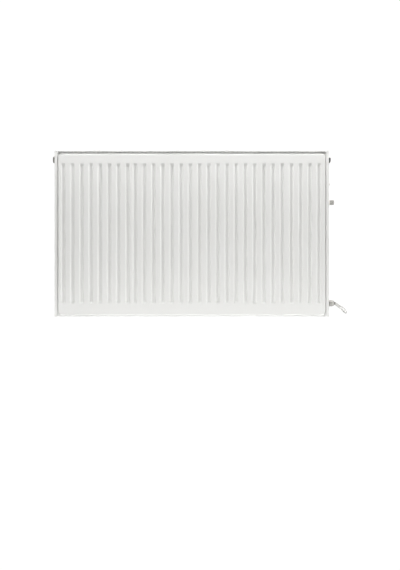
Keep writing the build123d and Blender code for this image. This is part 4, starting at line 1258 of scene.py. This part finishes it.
# ---------------------------------------------------------------- heater end
@dataclass
class HeaterEnd:
    """The heater's hexagon head and seal, the terminal cap, the gland and the bend relief."""

    hex_across: float = 22 * MM
    relief_drop: float = 30.0
    relief_long: float = 20 * MM
    relief_root: float = 4.4 * MM
    relief_tip: float = 3.1 * MM
    relief_rings: int = 5
    gland_ribs: int = 16
    stem_radius: float = 9.6 * MM
    cap_wall: float = 2 * MM
    duct_start: float = 14.4 * MM
    duct_out: float = 8 * MM
    duct_inset: float = 4 * MM

    def head(self) -> None:
        """The heater's head: a chamfered hexagon between the seal and the terminal cap."""
        low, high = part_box("heater_head")
        seal_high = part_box("heater_seal")[1].x
        centre = middle("heater_head")
        wide = 0.6 * self.hex_across
        profile = np.concatenate([
            np.array([
                (low.x, 0), (low.x, self.stem_radius), (seal_high, self.stem_radius), (seal_high, wide)
            ]),
            np.c_[np.linspace(seal_high, high.x, 9), np.full(9, wide)],
            np.array([(high.x, 0.44 * self.hex_across), (high.x, 0)]),
        ])
        head = lathe(profile, 96, reshape=hexagon(self.hex_across, high.x))
        make_piece(
            "heater_head_hex", head.placed((0, *centre[1:])), SATIN_NICKEL, replaces=("heater_head",)
        )

    def cap(self) -> None:
        """The terminal cap: a round cup with a bead round it, and a duct beside it for the wires."""
        low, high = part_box("terminal_cap")
        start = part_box("heater_head")[1].x
        axis_y, axis_z = middle("heater_head")[1:]
        radius, long = (high.z - axis_z) / MM, (high.x - start) / MM
        wall, bead = self.cap_wall / MM, 0.42 * long
        profile = eased(
            [
                (0, 0), (0, radius - wall), (0.01, radius - 0.4), (bead - 1.3, radius - 0.4),
                (bead - 1.0, radius), (bead + 1.0, radius), (bead + 1.3, radius - 0.5),
                (0.72 * long, radius - 0.6), (long, 0.72 * radius), (long, 0),
            ],
            [0, *[0.3] * 6, 2.0, 1.8, 0], 4,
        ) * MM
        cup = lathe(profile, 96).placed((start, axis_y, axis_z))
        make_piece("terminal_cap_cup", cup, GREY_NYLON, replaces=("terminal_cap",), sharp=50.0)
        duct_end = start + self.duct_out
        low_z, high_z = low.z + self.duct_inset, high.z - self.duct_inset
        duct = [
            block((low.x, axis_y + self.duct_start, low_z), (duct_end, high.y, high_z)),
            block((start + 0.2 * MM, axis_y + 6 * MM, low_z), (duct_end, axis_y + 15 * MM, high_z)),
        ]
        make_piece("terminal_cap_duct", joined(duct), GREY_NYLON, modifiers=[bevel(1.2, 4)], sharp=50.0)

    def gland(self) -> None:
        """The gland's nut: a ring of grip ribs and a rounded shoulder."""
        low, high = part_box("cable_gland")
        centre = middle("cable_gland")
        radius = high.z - centre[2]
        long = high.x - low.x

        def ribs(along: Array, r: Array, angle: Array) -> Array:
            """Takes narrow gaps between ribs off the outer surface.

            Args:
                along: distance from the nut's root.
                r: the profile's radius.
                angle: the angle round the axis.
            Returns:
                The radius with the gaps.
            """
            gap = (0.5 - 0.5 * np.cos(self.gland_ribs * angle)) ** 4
            return np.where(r > 0.9 * radius, r - 0.3 * MM * gap, r)

        profile = eased(
            [(0, 0), (0, radius), (0.75 * long, radius), (long, 0.8 * radius), (long, 0)],
            [0, 0.3 * MM, 0.8 * MM, 0.5 * MM, 0], 4,
        )
        shape = lathe(profile, 128, reshape=ribs).placed((low.x, *centre[1:]))
        make_piece("cable_gland_ribbed", shape, DARK_NYLON, replaces=("cable_gland",))

    def relief(self) -> bpy.types.Object:
        """The bend relief: a taper with a row of flexing grooves round it.

        The radius runs evenly from root to tip, less a cosine-sided groove at each ring.

        Returns:
            The bend relief.
        """
        _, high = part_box("cable_gland")
        centre = middle("cable_gland")
        along = np.linspace(0, self.relief_long, 90)
        taper = self.relief_root + (self.relief_tip - self.relief_root) * along / self.relief_long
        phase = (along / self.relief_long * (self.relief_rings + 1)) % 1.0
        groove = np.clip(np.cos(FULL_TURN * (phase - 0.5)) - 0.45, 0, 1) / 0.55
        plain_end = 2.4 * MM
        between = (along > plain_end) & (along < self.relief_long - plain_end)
        radius = taper - 0.75 * MM * np.sqrt(groove) * between
        profile = np.concatenate([
            np.array([(-3 * MM, 0), (-3 * MM, 3.2 * MM), (-1 * MM, 4.0 * MM)]), np.c_[along, radius],
            np.array([(self.relief_long, 0)]),
        ])
        drop = math.radians(self.relief_drop)
        way = (math.cos(drop), 0, -math.sin(drop))
        return make_piece(
            "bend_relief_grooved", lathe(profile, 48).placed((high.x, centre[1], centre[2]), way),
            SOFT_PVC, replaces=("bend_relief",), sharp=50.0,
        )

    def build(self) -> bpy.types.Object:
        """Makes the heater's outer end.

        Returns:
            The bend relief, which goes with the cord.
        """
        self.head()
        HeaderFittings().seal("heater_seal")
        self.cap()
        self.gland()
        dress(DRAWN_STAINLESS, "heating_element")
        dress(STAMPED_BRASS, "heater_terminals")
        return self.relief()


# ---------------------------------------------------------------- mains lead
@dataclass
class MainsLead:
    """The cord with its put-away coil, the strap round the coil, and the plug.

    lead_length and tail_length are the lengths of the cord's two runs outside the coil.
    """

    diameter: float = 5.6 * MM
    base: float = -0.3
    lead_length: float = 0.3060
    tail_length: float = 0.0623
    coil_centre: tuple[float, float, float] = (0.430, -0.028, -0.110)
    coil_radius: float = 33 * MM
    turns: float = 4.5
    points_per_turn: int = 16
    tie_corner: float = 5 * MM
    tie_teeth: int = 96
    plug_neck: float = 14 * MM
    plug_flutes: int = 36
    slot_deep: float = 2 * MM
    slot_half_wide: float = 3.2 * MM
    slot_long: float = 14.1 * MM

    def coil(self) -> Array:
        """Centreline of the coil.

        The angle grows evenly, anticlockwise from the right. Three turns lie side by side on the outer
        layer, front to back, and the rest come back on the inner layer. The cord moves over to its next
        place in the last quarter of each turn, by a smooth step.

        Returns:
            The points of the centreline.
        """
        count = int(self.turns * self.points_per_turn)
        turn = (np.arange(count) + 0.5) / self.points_per_turn
        gap = self.diameter * 1.02
        layer = np.array([0.5, 0.5, 0.5, -0.5, -0.5, -0.5]) * gap
        place = np.array([-1.0, 0.0, 1.0, 1.0, 0.0, 0.0]) * gap
        now = np.floor(turn).astype(int)
        over = smooth_step((turn - now - 0.72) / 0.28)
        radius = self.coil_radius + layer[now] + over * (layer[now + 1] - layer[now])
        depth = place[now] + over * (place[now + 1] - place[now])
        x, y, z = self.coil_centre
        angle = FULL_TURN * turn
        return np.stack([x + radius * np.cos(angle), y + depth, z + radius * np.sin(angle)], axis=-1)

    def route(self) -> Array:
        """The whole centreline: from the bend relief, round behind the cover, the coil, and the plug.

        Returns:
            The points of the centreline.
        """
        base, (x, y, z) = self.base, self.coil_centre
        lead = [
            (0.54832, -0.098, base + 0.038), (0.5626, -0.098, base + 0.0297),
            (0.572, -0.0899, base + 0.0189), (0.5763, -0.0757, base + 0.0113),
            (0.576, -0.0585, base + 0.0109), (0.5706, -0.0438, base + 0.0173),
            (0.5604, -0.0349, base + 0.0277), (0.547, -0.0316, base + 0.039),
            (0.531, -0.030, base + 0.0485), (0.511, -0.0286, base + 0.057),
            (0.491, -0.028, base + 0.072), (0.475, -0.029, base + 0.095), (0.467, -0.031, base + 0.124),
            (0.4655, -0.033, base + 0.158), (0.4658, -0.0337, base + 0.180),
        ]
        tail_x = x - self.coil_radius
        tail = [
            (tail_x, y, z - 0.006), (tail_x, y, base + 0.169),
            (tail_x, -0.024, base + 0.149), (tail_x, -0.024, base + 0.128),
        ]
        return np.concatenate([np.array(lead), self.coil(), np.array(tail)])

    def cord(self) -> bpy.types.Object:
        """The cord as one smooth spline with a round section.

        Returns:
            The cord.
        """
        points = self.route()
        curve = bpy.data.curves.new("mains_cord_flex", "CURVE")
        curve.dimensions = "3D"
        spline = curve.splines.new("NURBS")
        spline.points.add(len(points) - 1)
        spline.points.foreach_set("co", np.c_[points, np.ones(len(points))].ravel())
        spline.order_u = 3
        spline.use_endpoint_u = True
        curve.resolution_u = 6
        curve.bevel_depth = self.diameter / 2
        curve.bevel_resolution = 6
        curve.use_fill_caps = True
        curve.materials.append(SOFT_PVC.material())
        piece = bpy.data.objects.new("mains_cord_flex", curve)
        bpy.context.scene.collection.objects.link(piece)
        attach(piece, "radiator")
        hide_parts("mains_cord", "cord_coil", "cord_tail")
        LOG.info("piece %s rides on %s", piece.name, "radiator")
        return piece

    def length(self) -> float:
        """The cord's real length: lead and tail, and the turns on the coil's two layers.

        Returns:
            The length in metres.
        """
        half = self.diameter / 2
        outer, inner = 3 * (self.coil_radius + half), (self.turns - 3) * (self.coil_radius - half)
        return self.lead_length + self.tail_length + FULL_TURN * (outer + inner)

    def tie(self) -> bpy.types.Object:
        """The strap that holds the coil to the bracket: a toothed band with a square lock on it.

        The band is a rounded rectangle in X and Y. Its section goes round it, and its inner side has
        fine teeth.

        Returns:
            The band.
        """
        low, high = (np.array(corner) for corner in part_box("coil_tie"))
        centre = (low + high) / 2
        path = rounded_rectangle(high[0] - low[0], high[1] - low[1], self.tie_corner, 8)
        closed = np.concatenate([path, path[:1]])
        distance = np.r_[0, np.cumsum(np.linalg.norm(np.diff(closed, axis=0), axis=1))]
        even = np.linspace(0, distance[-1], 2 * self.tie_teeth, endpoint=False)
        line = np.stack([np.interp(even, distance, closed[:, axis]) for axis in (0, 1)], axis=-1)
        ahead = np.roll(line, -1, axis=0) - np.roll(line, 1, axis=0)
        inward = np.stack([-ahead[:, 1], ahead[:, 0]], axis=-1)
        inward /= np.linalg.norm(inward, axis=1, keepdims=True)
        teeth = np.where(np.arange(len(line)) % 2 == 0, 1.0, 0.72)[:, None] * MM
        half, ease = (high[2] - low[2]) / 2, 0.3 * MM
        inner, eased_line = line + inward * teeth, line + inward * ease
        section = (
            (line, -half + ease), (line, half - ease), (eased_line, half), (inner, half),
            (inner, -half), (eased_line, -half),
        )
        rings = np.stack([np.c_[flat, np.full(len(line), z)] for flat, z in section], axis=1)
        band = grid(rings, wrap_rows=True, wrap_columns=True).placed(centre)
        lock = block(
            (centre[0] - 3.2 * MM, low[1] - 2.2 * MM, low[2] - 1.2 * MM),
            (centre[0] + 3.2 * MM, low[1] + 0.9 * MM, high[2] + 1.2 * MM),
        )
        make_piece("coil_tie_lock", lock, BLACK_NYLON, modifiers=[bevel(0.6, 3)])
        return make_piece("coil_tie_band", band, BLACK_NYLON, replaces=("coil_tie",))

    def plug(self) -> list[bpy.types.Object]:
        """The plug: a ribbed neck, a round fluted body with a slot for each earth strip, and pins.

        Returns:
            The body and the pins.
        """
        low, high = (np.array(corner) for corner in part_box("plug_body"))
        centre = (low + high) / 2
        total = high[2] - low[2]
        radius = (high[0] - low[0]) / 2
        neck = np.linspace(0, self.plug_neck, 40)
        phase = (neck / (2.8 * MM)) % 1.0
        neck_radius = 3.6 * MM + 1.3 * MM * neck / self.plug_neck - 0.5 * MM * np.sin(math.pi * phase) ** 8

        def shaped(along: Array, r: Array, angle: Array) -> Array:
            """Flutes round the grip, and a flat-bottomed slot towards each side in Y near the face.

            Args:
                along: distance from the neck's top.
                r: the profile's radius.
                angle: the angle round the axis, from Y.
            Returns:
                The radius with flutes and slots.
            """
            starts, stops = along - 21 * MM, total - 15 * MM - along
            grip = smooth_step(starts / (3 * MM)) * smooth_step(stops / (3 * MM))
            wave = 0.5 + 0.5 * np.cos(self.plug_flutes * angle)
            fluted = r - 0.5 * MM * grip * wave * (r > 0.9 * radius)
            flat = (radius - self.slot_deep) / np.maximum(np.abs(np.cos(angle)), 0.2)
            across = np.abs(radius * np.sin(angle)) < self.slot_half_wide
            in_slot = across & (along > total - self.slot_long)
            return np.where(in_slot, np.minimum(fluted, flat), fluted)

        profile = np.concatenate([
            np.array([(0, 0)]), np.c_[neck, neck_radius],
            eased(
                [(14, 5.0), (17, 8.2), (20, 15.0), (24, 18.0), (30, 18.0)], [0, 1.0, 1.2, 1.6, 0], 4
            )[5:-5] * MM,
            np.c_[np.linspace(25.6 * MM, total - 14.2 * MM, 10), np.full(10, radius)],
            (total, radius) - np.array([(14.0, 0), (0.8, 0), (0.2, 0.25), (0, 0.8)]) * MM,
            np.array([(total, 0)]),
        ])
        body = lathe(profile, 144, reshape=shaped).placed((centre[0], centre[1], high[2]), (0, 0, -1))
        pieces = [make_piece("plug_body_moulded", body, SOFT_PVC, replaces=("plug_body",), sharp=45.0)]
        pieces.append(self.pins(centre[1]))
        dress(STAMPED_BRASS, "plug_earth_strips")
        return pieces

    def pins(self, middle_y: float) -> bpy.types.Object:
        """The plug's two round pins with domed ends.

        Args:
            middle_y: the plug's middle along Y.
        Returns:
            The pins.
        """
        low, high = (np.array(corner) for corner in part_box("plug_pins"))
        radius, long = (high[1] - low[1]) / 2, high[2] - low[2]
        pin = eased([(0, 0), (0, radius), (long, radius), (long, 0)], [0, 0, 1.6 * MM, 0], 6)
        pins = [
            lathe(pin, 40).placed((x, middle_y, high[2]), (0, 0, -1))
            for x in (low[0] + radius, high[0] - radius)
        ]
        return make_piece("plug_pins_domed", joined(pins), SATIN_NICKEL, replaces=("plug_pins",))

    def build(self, relief: bpy.types.Object) -> None:
        """Args:
            relief: the bend relief that the cord comes out of.
        """
        cord = self.cord()
        on_it = [relief, self.tie(), bpy.data.objects["coil_tie_lock"], *self.plug()]


# ---------------------------------------------------------------- hanging parts
class Hanging:
    """The brackets, lugs, pads and anti-lift catches behind the radiator."""

    def build(self) -> None:
        """Dresses the hanging parts, whose shapes come from the model as they are."""
        dress(GALVANISED_STEEL, "wall_bracket_left", "wall_bracket_right")
        dress(GALVANISED_STEEL, "anti_lift_catch_left", "anti_lift_catch_right")
        dress(WHITE_COAT, "hanging_lugs")
        dress(BLACK_NYLON, "hook_pads")


# ---------------------------------------------------------------- studio
@dataclass(frozen=True)
class Lamp:
    """A rectangular softbox: its place, what it looks at, its width and height, and its watts."""

    name: str
    at: tuple[float, float, float]
    aim: tuple[float, float, float]
    size: tuple[float, float]
    power: float


LAMPS = (
    Lamp("softbox_high", (0.0, -1.3, 2.0), (0.0, -0.1, 0.0), (2.6, 1.4), 20.0),
    Lamp("softbox_over", (0.0, -0.4, 0.85), (0.0, -0.1, 0.0), (2.2, 0.3), 11.0),
    Lamp("softbox_low", (0.0, -0.6, -0.85), (0.0, -0.1, 0.0), (2.2, 0.3), 11.5),
    Lamp("softbox_right", (2.0, -0.55, 0.1), (0.0, -0.1, 0.0), (0.65, 1.4), 15.0),
    Lamp("softbox_left", (-2.0, -0.6, 0.1), (0.0, -0.1, 0.0), (0.7, 1.4), 6.8),
    Lamp("softbox_behind", (0.9, 2.3, 1.5), (0.0, 0.0, 0.0), (1.5, 1.0), 30.0),
)


@dataclass
class Studio:
    """Camera, soft lights, white surroundings and a plain pale floor."""

    eye: tuple[float, float, float] = (0.030, -3.048, -0.1846)
    lens: float = 50.3
    floor_height: float = -1.30
    floor_size: float = 14.0
    front_glow: float = 0.10
    rear_glow: float = 0.85
    backdrop: float = 1.05

    def camera(self) -> None:
        """A level camera in front of the radiator, near the height of its lower third."""
        data = bpy.data.cameras.new("camera")
        data.lens = self.lens
        data.sensor_width = 36.0
        view = bpy.data.objects.new("camera", data)
        view.location = self.eye
        view.rotation_euler = (math.pi / 2, 0, 0)
        bpy.context.scene.collection.objects.link(view)
        bpy.context.scene.camera = view

    def softbox(self, lamp: Lamp) -> None:
        """A rectangular light, turned so that it looks at its aim.

        Args:
            lamp: the softbox.
        """
        data = bpy.data.lights.new(lamp.name, "AREA")
        data.shape = "RECTANGLE"
        data.size, data.size_y = lamp.size
        data.energy = lamp.power
        light = bpy.data.objects.new(lamp.name, data)
        towards = np.array(lamp.aim) - np.array(lamp.at)
        light.location = lamp.at
        flat = math.hypot(towards[0], towards[1])
        rise, turn = math.atan2(towards[2], flat), math.atan2(towards[1], towards[0])
        light.rotation_euler = (math.pi / 2 + rise, 0, turn - math.pi / 2)
        light.visible_camera = False
        bpy.context.scene.collection.objects.link(light)

    def white_world(self) -> None:
        """A white backdrop that glows behind the object and fades out to a dim studio in front of it."""
        world = bpy.data.worlds.new("studio_white")
        world.use_nodes = True
        tree = world.node_tree
        tree.nodes.clear()
        direction = add_node(tree, "ShaderNodeTexCoord", {}, {}).outputs["Generated"]
        parts = add_node(tree, "ShaderNodeSeparateXYZ", {}, {"Vector": direction})
        glow = add_node(
            tree, "ShaderNodeMapRange", {"interpolation_type": "SMOOTHSTEP"},
            {
                "Value": parts.outputs["Y"], "From Min": -0.15, "From Max": 0.5,
                "To Min": self.front_glow, "To Max": self.rear_glow,
            },
        )
        path = add_node(tree, "ShaderNodeLightPath", {}, {})
        white = linear("FFFFFF")
        dim = add_node(
            tree, "ShaderNodeBackground", {}, {"Color": white, "Strength": glow.outputs[0]}
        )
        seen = add_node(tree, "ShaderNodeBackground", {}, {"Color": white, "Strength": self.backdrop})
        mixed = add_node(
            tree, "ShaderNodeMixShader", {},
            {0: path.outputs["Is Camera Ray"], 1: dim.outputs[0], 2: seen.outputs[0]},
        )
        add_node(tree, "ShaderNodeOutputWorld", {}, {"Surface": mixed.outputs[0]})
        bpy.context.scene.world = world

    def floor(self) -> None:
        """A plain white floor well below the radiator."""
        half = self.floor_size / 2
        corners = [(-half, -half), (half, -half), (half, half), (-half, half)]
        mesh = bpy.data.meshes.new("floor")
        mesh.from_pydata([(x, y, self.floor_height) for x, y in corners], [], [(0, 1, 2, 3)])
        material = bpy.data.materials.new("plain_white_floor")
        material.use_nodes = True
        tree = material.node_tree
        tree.nodes.clear()
        path = add_node(tree, "ShaderNodeLightPath", {}, {})
        matt = add_node(tree, "ShaderNodeBsdfDiffuse", {}, {"Color": linear("808080")})
        bright = add_node(
            tree, "ShaderNodeEmission", {}, {"Color": linear("FFFFFF"), "Strength": self.backdrop}
        )
        mixed = add_node(
            tree, "ShaderNodeMixShader", {},
            {0: path.outputs["Is Camera Ray"], 1: matt.outputs[0], 2: bright.outputs[0]},
        )
        add_node(tree, "ShaderNodeOutputMaterial", {}, {"Surface": mixed.outputs[0]})
        mesh.materials.append(material)
        plane = bpy.data.objects.new("floor", mesh)
        bpy.context.scene.collection.objects.link(plane)

    def build(self) -> None:
        """Sets up the camera, the light and the floor."""
        bpy.context.scene.view_settings.view_transform = "Standard"
        self.camera()
        self.white_world()
        self.floor()
        for lamp in LAMPS:
            self.softbox(lamp)


def main() -> None:
    """Builds every part of the object in order, then the studio."""
    logging.basicConfig(level=logging.INFO, format="%(name)s: %(message)s")
    Studio().build()
    WaterPanels().build()
    Casing().build()
    HeaderFittings().build()
    Controls().build()
    relief = HeaterEnd().build()
    MainsLead().build(relief)
    Hanging().build()


if __name__ == "__main__":
    main()
